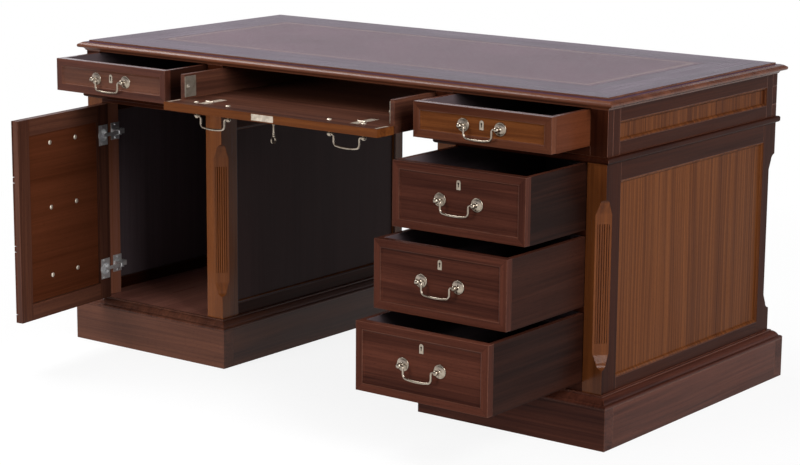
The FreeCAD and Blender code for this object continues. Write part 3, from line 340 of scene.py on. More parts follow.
SWAY = (0.030, 0.021)    # how far the streaks sway across a board
BOARD_VARIETY = 0.36     # how much one board differs in tone from the next
CUT_APART = 9.0          # how far apart in the wood two boards may be cut
FRONT_BORDER = 0.018     # width of the crossbanding round a drawer's front
TOP_BORDER = 0.150       # width of the wood round the writing leather
BORDER_SHIFT = 3.1       # how far from the field's wood the boards of a border are cut
UPRIGHT_SHIFT = 5.3      # and how far its upright boards from the others
MITRE_REACH = 0.0006     # how far the dark of the joint in a border's corner reaches
REBATE_REACH = 0.0012    # and that of the dark line on a border's inner side: a joint and painted shade at the field's edge
JOINT_DEPTH = 0.75       # how much the joints' own colour covers
JOINT_TONE = 0.4         # and that colour, in parts of the wood's dark one


def figure_group():
    """The figure of a sawn and polished board: streaks, ribbons and pores along X"""
    name = "wood_figure"
    if name in bpy.data.node_groups:
        return bpy.data.node_groups[name]
    group = bpy.data.node_groups.new(name, "ShaderNodeTree")
    sockets = {
        "INPUT": (("Vector", "Vector"), ("Dark", "Color"), ("Light", "Color"),
                  ("Ribbon", "Float"), ("Tone", "Float")),
        "OUTPUT": (("Color", "Color"), ("Smoothness", "Float"), ("Height", "Float")),
    }
    for way, named in sockets.items():
        for socket, kind in named:
            group.interface.new_socket(socket, in_out=way, socket_type="NodeSocket" + kind)
    n = Nodes(group)
    given = n.add("NodeGroupInput").outputs
    vector = given["Vector"]

    flow = n.noise(n.stretched(vector, FLOW), detail=3.0)
    bent = n.moved(vector, n.joined(0.0, *(n.times(flow, sway) for sway in SWAY)))
    broad = n.noise(n.stretched(bent, BROAD_STREAKS), detail=3.0, roughness=0.55)
    streaks = n.noise(n.stretched(bent, FINE_STREAKS), detail=3.0, roughness=0.6)
    ribbon = n.noise(n.stretched(bent, RIBBONS), detail=3.0, roughness=0.6)
    pores = n.levels(n.noise(n.stretched(vector, PORES), detail=1.0), 0.60, 0.70)

    plain = n.plus(n.times(n.levels(broad, 0.34, 0.66), 0.60),
                   n.times(n.levels(streaks, 0.30, 0.70), 0.40))
    tone = n.mix(given["Ribbon"], plain, n.levels(ribbon, 0.36, 0.64), kind="FLOAT")
    tone = n.math("ADD", tone, given["Tone"], clamp=True)
    shade = n.mix(tone, given["Dark"], given["Light"])
    shade = n.mix(n.times(pores, 0.55), shade, given["Dark"])
    smoothness = n.minus(streaks, n.times(pores, 0.4))
    height = n.minus(n.times(streaks, 0.35), pores)
    n.add("NodeGroupOutput", shade, smoothness, height)
    return group


def mitred_border(n, grain, width):
    """Turns the grain along the edges of a board, in a border that is mitred in the corners

    Gives the new grain, where the border is and where its dark joints are; the line on its inner
    side is a joint and also painted shade at the field's edge.
    """
    across, along = edge_distances(n)
    inside = n.math("MINIMUM", across, along)
    banded = n.math("LESS_THAN", inside, width)
    upright = n.times(n.math("LESS_THAN", across, along), banded)
    run = n.parts(grain)
    turned = n.mix(upright, grain, n.joined(run[Y], run[X], run[Z]), kind="VECTOR")
    turned = n.moved(turned, n.joined(n.times(banded, BORDER_SHIFT),
                                      n.times(upright, UPRIGHT_SHIFT), banded))
    mitre = n.times(n.levels(n.apart(across, along), MITRE_REACH, 0.0), banded)
    rebate_joint_and_shade = n.levels(n.apart(inside, width), REBATE_REACH, 0.0)
    joint = n.times(n.math("MAXIMUM", mitre, rebate_joint_and_shade), JOINT_DEPTH)
    return turned, banded, joint


@made_once
def wood(name, colours, gloss, ribbon=0.25, roughness=0.34, tone=0.0, border=0.0, band=None,
         smears=0.05):
    """Polished wood of a dark and a light colour

    Ribbon is how striped it is, tone a shift to its dark or light colour, smears how uneven
    its polish.  A border is mitred, and in the colours of band where these are given.
    """
    material, n, shader = new_material(name)
    grain = n.attribute("grain")
    vector = grain
    shades = [opaque(part) for part in colours]
    if border:
        vector, banded, joint = mitred_border(n, grain, border)
        if band:
            shades = [n.mix(banded, *pair) for pair in zip(shades, map(opaque, band))]
    variety = n.times(n.minus(n.attribute("board", "Fac"), 0.5), BOARD_VARIETY)
    figure = n.add("ShaderNodeGroup", vector, *shades, ribbon, n.plus(variety, tone),
                   node_tree=figure_group()).outputs
    shade = figure["Color"]
    if border:
        # darkens the border's joints; on its inner side this is also painted shade at the field's
        # edge
        shade = n.mix(joint, shade, opaque(part * JOINT_TONE for part in colours[0]))
    hands = n.noise(n.stretched(grain, HAND_MARKS))
    rough = n.plus(n.levels(figure["Smoothness"], 0.2, 0.8, 0.05, -0.05),
                   n.levels(hands, 0.3, 0.7, roughness - smears, roughness + smears))
    n.set(shader["Base Color"], shade)
    n.set(shader["Roughness"], rough)
    shader["Specular IOR Level"].default_value = gloss
    n.set(shader["Normal"], n.bumped(figure["Height"], 0.12, 0.0002))
    return material


def woods():
    """The wood finishes by name"""
    w = bpy.context.scene.desk_wood
    gloss = w.gloss

    def pair(kind):
        return getattr(w, kind + "_dark"), getattr(w, kind + "_light")

    return {
        "frame": wood("frame_wood_polish", pair("frame"), gloss),
        "frame_edge": wood("frame_wood_rubbed", (w.frame_light, w.plinth_light), gloss * 5,
                           roughness=0.22),
        "bright_edge": wood("front_edge_polish", pair("front"), 1.0, roughness=0.15),
        "post": wood("post_wood_polish", pair("post"), gloss * 4, roughness=0.22),
        "panel": wood("panel_veneer", pair("panel"), gloss, ribbon=0.6),
        # the panel veneer made darker, as painted shade under the top's overhang
        "frieze_panel": wood("frieze_panel_veneer", pair("panel"), gloss, ribbon=0.6,
                             tone=-0.35),
        "door": wood("door_veneer", pair("door"), gloss),
        "front": wood("front_veneer", pair("front"), gloss, ribbon=0.2, border=FRONT_BORDER),
        "lower_front": wood("lower_front_veneer", pair("front"), gloss, ribbon=0.2, tone=-0.22,
                            border=FRONT_BORDER),
        "frieze": wood("frieze_veneer", pair("frieze"), gloss, ribbon=0.2, border=FRONT_BORDER,
                       band=pair("moulding")),
        "dark_frieze": wood("dark_frieze_veneer", pair("plinth"), gloss * 4, ribbon=0.2,
                            border=FRONT_BORDER, band=pair("front")),
        "flap": wood("flap_veneer", pair("plinth"), gloss * 3),
        "lipping": wood("lipping_polish", (w.post_dark, w.frieze_light), gloss * 2),
        "top": wood("top_veneer", pair("top"), gloss * 4, border=TOP_BORDER, roughness=0.29,
                    smears=0.01),
        "moulding": wood("moulding_polish", pair("moulding"), gloss * 5, roughness=0.24),
        "plinth": wood("plinth_wood_polish", pair("plinth"), gloss * 4),
        # the right plinth takes the darker front wood, as painted shade under the drawers
        "dark_plinth": wood("dark_plinth_polish", pair("front"), gloss * 2),
        # lighter wood for the posts' faces in the cupboard, as painted light
        "bare": wood("bare_edge_stain", (w.post_light, w.shelf_light), gloss, roughness=0.4),
        "shelf": wood("pedestal_floor_polish", pair("shelf"), gloss),
        # darker, plain panel wood for the kneehole, as painted shade
        "kneehole": wood("kneehole_veneer", pair("kneehole"), gloss, ribbon=0.0),
        "lining": wood("lining_stain", pair("lining"), gloss, ribbon=0.0, roughness=0.5),
        "box": wood("box_stain", pair("box"), gloss, roughness=0.4),
        # the box stain made darker, as painted shade under the top and the frieze drawer
        "dark_box": wood("dark_box_stain", pair("box"), gloss, roughness=0.4, tone=-0.35),
        "inside": wood("inside_stain", pair("inside"), gloss, roughness=0.55),
    }


# ---- leather and metals
INNER_LINE_GAP = 0.006         # from the tooled line to the fine one inside it
LINE_FADE = 0.0006             # over which the tooled line's edge fades out
FINE_LINE = (0.0006, 0.0003)   # from the fine line's middle to where it ends and where it is full


def leather(settings):
    """Aniline-finished hide with a tooled line and a fine one inside its edge"""
    material, n, shader = new_material("writing_hide")
    vector = n.object_place()
    pebbles = n.add("ShaderNodeTexVoronoi", vector, feature="DISTANCE_TO_EDGE")
    pebbles.inputs["Scale"].default_value = 900.0
    crease = n.levels(pebbles.outputs["Distance"], 0.0, 0.25)
    clouds = n.noise(vector, scale=5.0, detail=4.0)
    pull = n.noise(vector, scale=160.0, detail=3.0)
    tone = n.plus(n.times(n.levels(clouds, 0.3, 0.7), 0.45), n.times(pull, 0.55))
    tone = n.times(tone, n.levels(crease, 0.0, 1.0, 0.55, 1.0))
    shade = n.mix(tone, opaque(settings.hide_dark), opaque(settings.hide_light))

    inside = n.math("MINIMUM", *edge_distances(n))
    half_line = settings.line_width / 2
    lines = []
    for inset, end, full in ((settings.line_inset, half_line, half_line - LINE_FADE),
                             (settings.line_inset + INNER_LINE_GAP, *FINE_LINE)):
        lines.append(n.levels(n.apart(inside, inset), end, full))
    worn = n.levels(n.noise(vector, scale=420.0), 0.35, 0.55)
    line = n.times(n.math("MAXIMUM", *lines), worn)
    shade = n.mix(n.times(line, 0.85), shade, opaque(settings.gilt))
    rough = n.mix(line, n.levels(pull, 0.3, 0.7, 0.28, 0.38), 0.30, kind="FLOAT")
    height = n.minus(crease, n.times(line, 0.8))
    n.set(shader["Base Color"], shade)
    n.set(shader["Roughness"], rough)
    shader["Specular IOR Level"].default_value = 0.50
    n.set(shader["Normal"], n.bumped(height, 0.35, 0.0003))
    return material


@made_once
def metal(name, bright, dull, roughness, metallic=1.0):
    """Plated metal, darker where polish has not reached"""
    material, n, shader = new_material(name)
    vector = n.object_place()
    clouds = n.noise(vector, scale=55.0, detail=4.0, roughness=0.6)
    grit = n.noise(vector, scale=700.0, detail=3.0)
    dark = n.times(n.levels(clouds, 0.42, 0.72), 0.7)
    rough = n.plus(n.levels(grit, 0.3, 0.7, roughness - 0.05, roughness + 0.08),
                   n.times(dark, 0.15))
    n.set(shader["Base Color"], n.mix(dark, opaque(bright), opaque(dull)))
    shader["Metallic"].default_value = metallic
    n.set(shader["Roughness"], rough)
    n.set(shader["Normal"], n.bumped(grit, 0.08, 0.0002))
    return material


def metals():
    """The metal finishes by name"""
    m = bpy.context.scene.desk_metal
    return {
        "nickel": metal("antiqued_nickel", m.nickel, m.patina, 0.24),
        "plate": metal("bright_plate", m.plate, [0.6 * part for part in m.plate], 0.28,
                       metallic=0.65),
        "bolt": metal("bolt_nickel", m.bolt, m.patina, 0.40, metallic=0.75),
        "catch": metal("worn_catch", m.catch, m.patina, 0.34, metallic=0.6),
    }


@made_once
def shadow_black(name):
    """The dark at the bottom of a keyhole, with a little dust"""
    material, n, shader = new_material(name)
    dust = n.noise(n.object_place(), scale=800.0)
    n.set(shader["Base Color"], n.mix(dust, opaque((0.002, 0.002, 0.002)),
                                      opaque((0.014, 0.01, 0.009))))
    n.set(shader["Roughness"], n.levels(dust, 0.3, 0.7, 0.7, 0.95))
    return material


# ---- mesh helpers
SAME_POINT = 1e-6                   # corners that meet differ by less than this
FLAT_TURN = math.radians(0.4)       # faces that turn less than this make one flat face
SHARP_TURN = math.radians(38.0)     # edges that turn more than this are rubbed soft
SHORTEST_EDGE = 2.2                 # edges shorter than so many widths aren't rubbed soft
ROD_SIDES = 14
PLATE_SIDES = 72
RAY_LENGTH = 0.05                   # a ray that looks for an outline goes no further
HALVINGS = 26                       # of the stretch of the ray in which the outline lies

# Turns in degrees from which an edge stays sharp in the shading of a piece
BOARD_SMOOTH, BAIL_SMOOTH, POST_SMOOTH, PLATE_SMOOTH, BOLT_SMOOTH = 34.0, 50.0, 40.0, 30.0, 32.0

# Widths of the softened edges of metal
FINE_EDGE, FITTING_EDGE, LOCK_EDGE = 0.0003, 0.0004, 0.0008


def corner_key(point):
    """A name for a corner's place, the same for all corners that meet there"""
    return tuple(round(part / SAME_POINT) for part in point)


def box_of(points):
    """Lowest and highest corner of the box round points"""
    return tuple(Vector(pick(point[axis] for point in points) for axis in (X, Y, Z))
                 for pick in (min, max))


def solids_of(node):
    """The polygons of a node in lists, one for each of its closed solids"""
    mesh = NODES[node].data
    open_edges, current, solids = {}, [], []
    for polygon in mesh.polygons:
        keys = [corner_key(mesh.vertices[index].co) for index in polygon.vertices]
        current.append(polygon)
        for start, end in zip(keys, keys[1:] + keys[:1]):
            if open_edges.get((end, start)):
                open_edges[(end, start)] -= 1
                if not open_edges[(end, start)]:
                    del open_edges[(end, start)]
            else:
                open_edges[(start, end)] = open_edges.get((start, end), 0) + 1
        if not open_edges:
            solids.append(current)
            current = []
    if current:
        raise RuntimeError(f"{node} has a solid that is not closed")
    return solids


def solid_boxes(node):
    """Lowest and highest corner of each of a node's solids"""
    vertices = NODES[node].data.vertices
    return [box_of([vertices[index].co for polygon in polygons for index in polygon.vertices])
            for polygons in solids_of(node)]


def welded(node, polygons):
    """One closed solid as a bmesh with its flat faces made whole"""
    mesh = NODES[node].data
    solid = bmesh.new()
    corners = {}
    for polygon in polygons:
        ring = []
        for index in polygon.vertices:
            point = mesh.vertices[index].co
            key = corner_key(point)
            if key not in corners:
                corners[key] = solid.verts.new(point)
            ring.append(corners[key])
        if len(set(ring)) == len(ring) and not solid.faces.get(ring):
            solid.faces.new(ring)
    bmesh.ops.dissolve_limit(solid, angle_limit=FLAT_TURN, verts=solid.verts, edges=solid.edges)
    bmesh.ops.recalc_face_normals(solid, faces=solid.faces)
    return solid


def soften(solid, width, material=1):
    """Rounds a solid's outward edges over and gives the new faces that material"""
    sharp = [edge for edge in solid.edges
             if len(edge.link_faces) == 2 and edge.is_convex
             and edge.calc_face_angle() > SHARP_TURN
             and edge.calc_length() > SHORTEST_EDGE * width]
    if sharp and width > 0:
        bmesh.ops.bevel(solid, geom=sharp, offset=width, offset_type="OFFSET", segments=2,
                        profile=0.6, affect="EDGES", clamp_overlap=True, material=material)


def seeded(text):
    """A source of chance that is the same each time for the same text"""
    return random.Random(sum((index + 1) * ord(letter) for index, letter in enumerate(text)))


def shown_piece(name, meshes, materials, body, smooth, node=None):
    """Joins bmeshes into one shown piece that rides on a body and may stand for a node

    Edges that turn more than smooth degrees stay sharp in its shading.
    """
    mesh = bpy.data.meshes.new(name)
    whole = bmesh.new()
    for part in meshes:
        piece = bpy.data.meshes.new("part")
        part.to_mesh(piece)
        part.free()
        whole.from_mesh(piece)
        bpy.data.meshes.remove(piece)
    whole.to_mesh(mesh)
    whole.free()
    for material in materials:
        mesh.materials.append(material)
    mesh.shade_smooth()
    mesh.set_sharp_from_angle(angle=math.radians(smooth))
    piece = bpy.data.objects.new(name, mesh)
    bpy.context.scene.collection.objects.link(piece)
    even = piece.modifiers.new("Even shading", "WEIGHTED_NORMAL")
    even.keep_sharp = True
    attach(piece, body)
    if node:
        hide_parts(node)


def mark_grain(solid, seed, grain, unplace, face):
    """Stores where each point lies in its board: along and across the grain"""
    layers = solid.verts.layers
    grain_layer, place_layer, reach_layer = (
        layers.float_vector.new(name) for name in ("grain", "place", "reach"))
    board_layer = layers.float.new("board")
    points = {vert: unplace @ vert.co for vert in solid.verts}
    low, high = box_of(points.values())
    size, middle = high - low, (high + low) / 2
    order = sorted((X, Y, Z), key=lambda axis: -size[axis])
    if grain is not None:
        order = [grain] + [axis for axis in order if axis != grain]
    across, along = face
    chance = seeded(seed)
    shift = Vector(chance.uniform(0, CUT_APART) for _ in range(3))
    tone = chance.random()
    for vert, point in points.items():
        off = point - middle
        vert[grain_layer] = Vector(point[axis] for axis in order) + shift
        vert[place_layer] = Vector((off[across], off[along], 0))
        vert[reach_layer] = Vector((size[across] / 2, size[along] / 2, 0))
        vert[board_layer] = tone


def dress(node, finish, edge=None, grain=None, width=None, unplace=Matrix(), face=(X, Z),
          others=(), pick=None):
    """Gives a node's solids soft edges and a finish, as a piece that stands for the node.

    For each face pick(normal, middle of the solid) gives the number of one of the other
    finishes, or None.
    """
    finishes = [finish, edge or finish]
    if width is None:
        width = bpy.context.scene.desk_wood.rubbed
    meshes = []
    for index, polygons in enumerate(solids_of(node)):
        solid = welded(node, polygons)
        soften(solid, width)
        if pick:
            middle = sum((vert.co for vert in solid.verts), Vector()) / len(solid.verts)
            for side in solid.faces:
                number = pick(side.normal, middle)
                if number is not None:
                    side.material_index = len(finishes) + number
        mark_grain(solid, f"{node}{index}", grain, unplace, face)
        meshes.append(solid)
    shown_piece("finished_" + node, meshes, [*finishes, *others], BODY_OF_NODE[node],
                BOARD_SMOOTH, node)


def circle(sides):
    """Angles of the corners of a circle with so many sides"""
    return [2 * math.pi * step / sides for step in range(sides)]


def skin(rings, place):
    """A closed mesh over rings of points in turn, where a ring of one point is a tip"""
    piece = bmesh.new()
    rings = [[piece.verts.new(place @ point) for point in ring] for ring in rings]
    for lower, upper in zip(rings, rings[1:]):
        sides = max(len(lower), len(upper))
        for step in range(sides):
            ahead = (step + 1) % sides
            corners = (lower[step % len(lower)], lower[ahead % len(lower)],
                       upper[ahead % len(upper)], upper[step % len(upper)])
            piece.faces.new(tuple(dict.fromkeys(corners)))
    for ring in (rings[0], rings[-1]):
        if len(ring) > 1:
            piece.faces.new(ring)
    bmesh.ops.recalc_face_normals(piece, faces=piece.faces)
    return piece


def lathe(profile, place, sides):
    """A turned piece about local -Y, from (radius, height out) pairs in metres"""
    rings = []
    for radius, height in profile:
        turns = circle(sides) if radius > 0 else [0.0]
        rings.append([Vector((radius * math.cos(turn), -height, radius * math.sin(turn)))
                      for turn in turns])
    return skin(rings, place)


def rod(points, radii, place):
    """A bent rod in the local XZ plane, thick as the radii say, with closed ends"""
    out = Vector((0, 1, 0))
    rings = []
    for index, (point, radius) in enumerate(zip(points, radii)):
        before = points[max(index - 1, 0)]
        after = points[min(index + 1, len(points) - 1)]
        run = (after - before).normalized()
        side = Vector((-run.z, 0, run.x))
        rings.append([point + side * radius * math.cos(turn) + out * radius * math.sin(turn)
                      for turn in circle(ROD_SIDES)])
    return skin(rings, place)


def outline(inside, angles, centre):
    """Points on the edge of a shape, where rays from its centre leave it, as (x, z)"""
    points = []
    for turn in angles:
        low, high = 0.0, RAY_LENGTH
        for _ in range(HALVINGS):
            middle = (low + high) / 2
            if inside(centre[0] + middle * math.cos(turn), centre[1] + middle * math.sin(turn)):
                low = middle
            else:
                high = middle
        points.append((centre[0] + low * math.cos(turn), centre[1] + low * math.sin(turn)))
    return points


def keyhole_plate(place):
    """An upright plate with a rounded head, pierced by a keyhole, with a dark back"""
    half_width, foot, spring = 0.0055, -0.01075, 0.00525
    eye_radius, slot_foot = 0.0024, -0.0051
    eye_level = spring - eye_radius
    rim, face, back = 0.0009, 0.0013, 0.0002
    face_share = 0.90
    centre = (0.0, 0.0014)

    def in_plate(x, z):
        head = x * x + (z - spring) ** 2 < half_width * half_width
        return (abs(x) < half_width and foot < z < spring) or head

    def in_hole(x, z):
        eye = x * x + (z - eye_level) ** 2 < eye_radius ** 2
        return eye or (abs(x) < eye_radius / 2 and slot_foot < z < eye_level)

    angles = circle(PLATE_SIDES)
    outer, inner = outline(in_plate, angles, centre), outline(in_hole, angles, centre)
    crown = [(centre[0] + (x - centre[0]) * face_share, centre[1] + (z - centre[1]) * face_share)
             for x, z in outer]
    plate = skin([[Vector((x, -rise, z)) for x, z in points]
                  for points, rise in ((outer, 0.0), (outer, rim), (crown, face), (inner, face),
                                       (inner, back))], place)
    plate.faces.ensure_lookup_table()
    plate.faces[-1].material_index = 1
    return plate


# ---- handles
# Rose and neck of a handle post: the radius in parts of the rose's, the height in metres
ROSE = ((0.2, 0.0), (1.0, 0.0), (1.0, 0.0010), (0.965, 0.0018), (0.90, 0.0021), (0.86, 0.0019),
        (0.82, 0.0024), (0.66, 0.0034), (0.48, 0.0041), (0.34, 0.0046), (0.30, 0.0053),
        (0.235, 0.0064), (0.215, 0.0078), (0.25, 0.0090))
BALL_HEIGHT = 0.97    # the ball's half height, in parts of its radius


def handle_place(bail):
    """Where a bail's pivot is, turned so that local -Y points out of the front"""
    joint = JOINTS[bail + "_bail_swing"]
    turns = {"door": Matrix.Rotation(-DOOR_SWING, 4, "Z"),
             "flap": Matrix.Rotation(math.radians(90), 4, "X")}
    return Matrix.Translation(joint["pos_m"]) @ turns.get(joint["parent"], Matrix())


def post_profile(settings):
    """Rose, neck and ball of a handle post, as (radius, height from the front)"""
    reach, ball = settings.pivot_reach, settings.knob_radius
    profile = [(part * settings.rose_radius, height) for part, height in ROSE]
    for degrees in range(-58, 90, 12):
        turn = math.radians(degrees)
        profile.append((ball * math.cos(turn), reach + ball * math.sin(turn) * BALL_HEIGHT))
    return profile + [(0.0, reach + ball * BALL_HEIGHT)]


def handle_posts(place, settings):
    """Both posts of a handle"""
    posts = []
    for side in (-0.5, 0.5):
        foot = Matrix.Translation((side * settings.post_spacing, settings.pivot_reach, 0))
        posts.append(lathe(post_profile(settings), place @ foot, settings.turns))
    return posts


def bail_shape(place, settings, drop):
    """A bail with its pins in the knobs, hanging along local drop"""
    pivot, bow, wire = settings.post_spacing / 2, settings.bail_bow, settings.bail_wire
    pin_start, gap, collar_length = 0.0022, 0.0002, 0.0006
    tip, pin, collar, limb = 0.0017, 0.0019, 0.0027, 0.0024    # radii of the wire along it
    bend, corner = 0.0056, 0.0110
    shoulder = pivot - settings.knob_radius - gap
    foot = settings.bail_drop - bow
    half_bow = shoulder - bend - corner
    left = [(-pivot + pin_start, 0.0, tip), (-shoulder - collar_length, 0.0, pin),
            (-shoulder, 0.0, collar)]
    for degrees in range(80, -1, -16):
        turn = math.radians(degrees)
        left.append((bend * math.cos(turn) - shoulder, bend * math.sin(turn) - bend, limb))
    for degrees in range(180, 257, 11):
        turn = math.radians(degrees)
        left.append((corner * math.cos(turn) - half_bow, corner * (1 + math.sin(turn)) - foot,
                     limb))
    for portion in (0.72, 0.48, 0.24):
        left.append((-half_bow * portion, -foot - bow * (1 - portion ** 2),
                     limb + (wire - limb) * (1 - portion)))
    points = left + [(0.0, -foot - bow, wire)] + [(-x, z, radius) for x, z, radius in left[::-1]]
    return rod([Vector((x, 0, z)) for x, z, _ in points], [radius for _, _, radius in points],
               place @ Matrix.Rotation(drop, 4, "X"))


# ---- operators
# How much of a face's normal lies along an axis where the face counts as looking that way
LEVEL, STRAIGHT, FACING, FLAT = 0.97, 0.95, 0.9, 0.5
END = 0.6              # parts further from the middle than this belong to an end of the desk
BACK = 0.3             # and parts behind this belong to its back
OFF_CENTRE = 0.02      # boards nearer than this to a box's centre don't look to it


class DESK_OT_top(bpy.types.Operator):
    """Moulded top board and its writing leather"""
    bl_idname = "desk.top"
    bl_label = "Top"

    def execute(self, context):
        finish = woods()
        # the top's level faces carry the painted purple sheen; its other faces take the moulding
        # wood
        dress("top_board", finish["top"], finish["frame"], grain=X, face=(X, Y),
              others=[finish["moulding"]],
              pick=lambda normal, middle: 0 if normal.z < LEVEL else None)
        hide = leather(context.scene.desk_leather)
        dress("writing_leather", hide, face=(X, Y), width=0.0)
        return {"FINISHED"}


class DESK_OT_frieze(bpy.types.Operator):
    """Rails, stiles, ends, back, panels and dividers of the frieze"""
    bl_idname = "desk.frieze"
    bl_label = "Frieze"

    def execute(self, context):
        finish = woods()
        for node in ("frieze_front_frame", "frieze_ends", "frieze_back"):
            dress(node, finish["frame"], finish["frame_edge"])
        # these panels are darkened as painted shade
        dress("frieze_panels", finish["frieze_panel"], grain=Z)
        # near-black wood, as painted shade inside the frieze
        dress("frieze_dividers", finish["inside"])
        return {"FINISHED"}


class DESK_OT_pedestals(bpy.types.Operator):
    """Waist mouldings, canted posts, rails, panels and boards of the two pedestals"""
    bl_idname = "desk.pedestals"
    bl_label = "Pedestals"

    @staticmethod
    def post_face_shade_or_light(normal, middle):
        """Picks 0 for a post's face in an end of the desk, whose darker wood is painted shade,
        and 1 for one in the cupboard, whose lighter wood is painted light
        """
        outward = normal.x * math.copysign(1.0, middle.x)
        if abs(middle.x) > END and outward > STRAIGHT:
            return 0
        return 1 if middle.x < -END and outward < -STRAIGHT else None

    @staticmethod
    def hidden(normal, middle):
        """Picks 0 for a panel's face in the kneehole, whose darker wood is painted shade, 1 for
        one inside its pedestal
        """
        if abs(normal.x) > FACING:
            outward = normal.x * middle.x > 0
            if abs(middle.x) > END:
                return None if outward else 1
            return 1 if outward else 0
        return 1 if normal.y < -FACING and middle.y > BACK else None

    def execute(self, context):
        finish = woods()
        # the right plinth is darkened as painted shade
        for side, plinth in (("left", "plinth"), ("right", "dark_plinth")):
            for part in ("cap", "rails"):
                dress(f"{side}_pedestal_{part}", finish["frame"],
                      finish["frame_edge"])
            # end faces take darker frame wood as painted shade, cupboard faces lighter wood as
            # painted light
            dress(f"{side}_pedestal_posts", finish["post"], grain=Z,
                  others=[finish["frame"], finish["bare"]], pick=self.post_face_shade_or_light)
            dress(f"{side}_pedestal_panels", finish["panel"], grain=Z,
                  others=[finish["kneehole"], finish["lining"]], pick=self.hidden)
            dress(f"{side}_pedestal_base", finish["shelf"])
            dress(f"{side}_plinth", finish[plinth], finish["frame_edge"])
        dress("pedestal_drawer_rails", finish["frame"])
        return {"FINISHED"}


class DESK_OT_drawers(bpy.types.Operator):
    """Fronts and boxes of the five drawers"""
    bl_idname = "desk.drawers"
    bl_label = "Drawers"

    @staticmethod
    def upward(normal, middle):
        """Picks the brightest polish for the top edges of a board"""
        return 0 if normal.z > STRAIGHT else None

    @classmethod
    def within(cls, normal, middle, centre):
        """Picks the lining for the faces that look to the middle of a drawer"""
        for axis in (X, Y, Z):
            toward = centre[axis] - middle[axis]
            if abs(toward) > OFF_CENTRE and normal[axis] * toward > FACING * abs(toward):
                return 1
        return cls.upward(normal, middle)

    def execute(self, context):
        finish = woods()
        for drawer, (veneer, board) in DRAWERS.items():
            dress(drawer + "_front", finish[veneer], finish["frame_edge"], grain=X,
                  others=[finish["bright_edge"]], pick=self.upward)
            box = drawer + "_box"
            low, high = box_of([vertex.co for vertex in NODES[box].data.vertices])
            centre = (low + high) / 2
            dress(box, finish[board],
                  others=[finish["bright_edge"], finish["lining"]],
                  pick=lambda normal, middle, centre=centre: self.within(normal, middle, centre))
        return {"FINISHED"}


class DESK_OT_tray(bpy.types.Operator):
    """The sliding tray and its drop front"""
    bl_idname = "desk.tray"
    bl_label = "Tray"

    def execute(self, context):
        finish = woods()
        dress("tray_box", finish["flap"], finish["frame_edge"])
        dress("flap_board", finish["flap"], finish["lipping"], grain=X,
              face=(X, Y), others=[finish["lipping"]],
              pick=lambda normal, middle: 0 if abs(normal.z) < FLAT else None)
        return {"FINISHED"}


class DESK_OT_door(bpy.types.Operator):
    """Frame, panel and false drawer fronts of the cupboard door"""
    bl_idname = "desk.door"
    bl_label = "Door"

    def execute(self, context):
        finish = woods()
        shut = Matrix.Rotation(DOOR_SWING, 4, "Z")
        for node, veneer in (("door_frame", "plinth"), ("door_false_fronts", "front")):
            dress(node, finish[veneer], finish["frame_edge"], unplace=shut)
        dress("door_panel", finish["door"], grain=X, unplace=shut)
        return {"FINISHED"}


class DESK_OT_handles(bpy.types.Operator):
    """Turned posts and swinging bails of the drawers, the door and the drop front"""
    bl_idname = "desk.handles"
    bl_label = "Handles"

    def execute(self, context):
        settings = context.scene.desk_metal
        nickel = metals()["nickel"]
        posts = {}
        for bail in BAILS:
            joint = JOINTS[bail + "_bail_swing"]
            place, owner = handle_place(bail), joint["parent"]
            posts.setdefault(owner, []).extend(handle_posts(place, settings))
            drop = math.radians(-90) if owner == "flap" else 0.0
            shown_piece(f"cast_{bail}_bail", [bail_shape(place, settings, drop)], [nickel],
                        joint["child"], BAIL_SMOOTH, bail + "_bail")
        for owner, meshes in posts.items():
            shown_piece(f"turned_{owner}_posts", meshes, [nickel], owner,
                        POST_SMOOTH)
        return {"FINISHED"}


class DESK_OT_escutcheons(bpy.types.Operator):
    """Keyhole plates, locks and the domed bolt heads behind the handles"""
    bl_idname = "desk.escutcheons"
    bl_label = "Keyhole plates, locks and bolts"

    @staticmethod
    def fittings(owner):
        """The solids of a body's fittings with their boxes, but for its handles' posts"""
        node = owner + "_fittings"
        half = bpy.context.scene.desk_metal.post_spacing / 2
        knobs = [handle_place(bail) @ Vector((side, 0, 0)) for bail in BAILS
                 for side in (-half, half)]
        return [(polygons, (low, high))
                for polygons, (low, high) in zip(solids_of(node), solid_boxes(node))
                if not any(all(low[axis] < knob[axis] < high[axis] for axis in (X, Y, Z))
                           for knob in knobs)]

    def execute(self, context):
        finish = metals()
        hole = shadow_black("hole_black")
        for drawer in DRAWERS:
            node = drawer + "_fittings"
            (_, (low, high)), (lock, _) = self.fittings(drawer)
            place = Matrix.Translation(((low.x + high.x) / 2, high.y, (low.z + high.z) / 2))
            case = welded(node, lock)
            soften(case, LOCK_EDGE, material=0)
            shown_piece(f"pierced_{drawer}_plate", [keyhole_plate(place), case],
                        [finish["nickel"], hole], drawer, PLATE_SMOOTH, node)
        for owner in ("door", "flap"):
            node = owner + "_fittings"
            meshes = [welded(node, polygons) for polygons, _ in self.fittings(owner)]
            for mesh in meshes:
                soften(mesh, FITTING_EDGE)
            shown_piece("fitted_" + node, meshes, [finish["bolt"]] * 2, owner,
                        BOLT_SMOOTH, node)
        return {"FINISHED"}


class DESK_OT_hinges(bpy.types.Operator):
    """Strap hinges and catches of the tray, and the cupboard's concealed hinges"""
    bl_idname = "desk.hinges"
    bl_label = "Hinges"

    def execute(self, context):
        finish = metals()
        dress("tray_catches", finish["catch"], width=FINE_EDGE)
        for node in ("tray_hinge_leaves", "flap_hinge_leaves"):
            dress(node, finish["bolt"], width=FINE_EDGE)
        for node in ("door_hinge_arms", "door_hinge_cups", "door_hinge_links"):
            dress(node, finish["plate"], width=FITTING_EDGE)
        return {"FINISHED"}


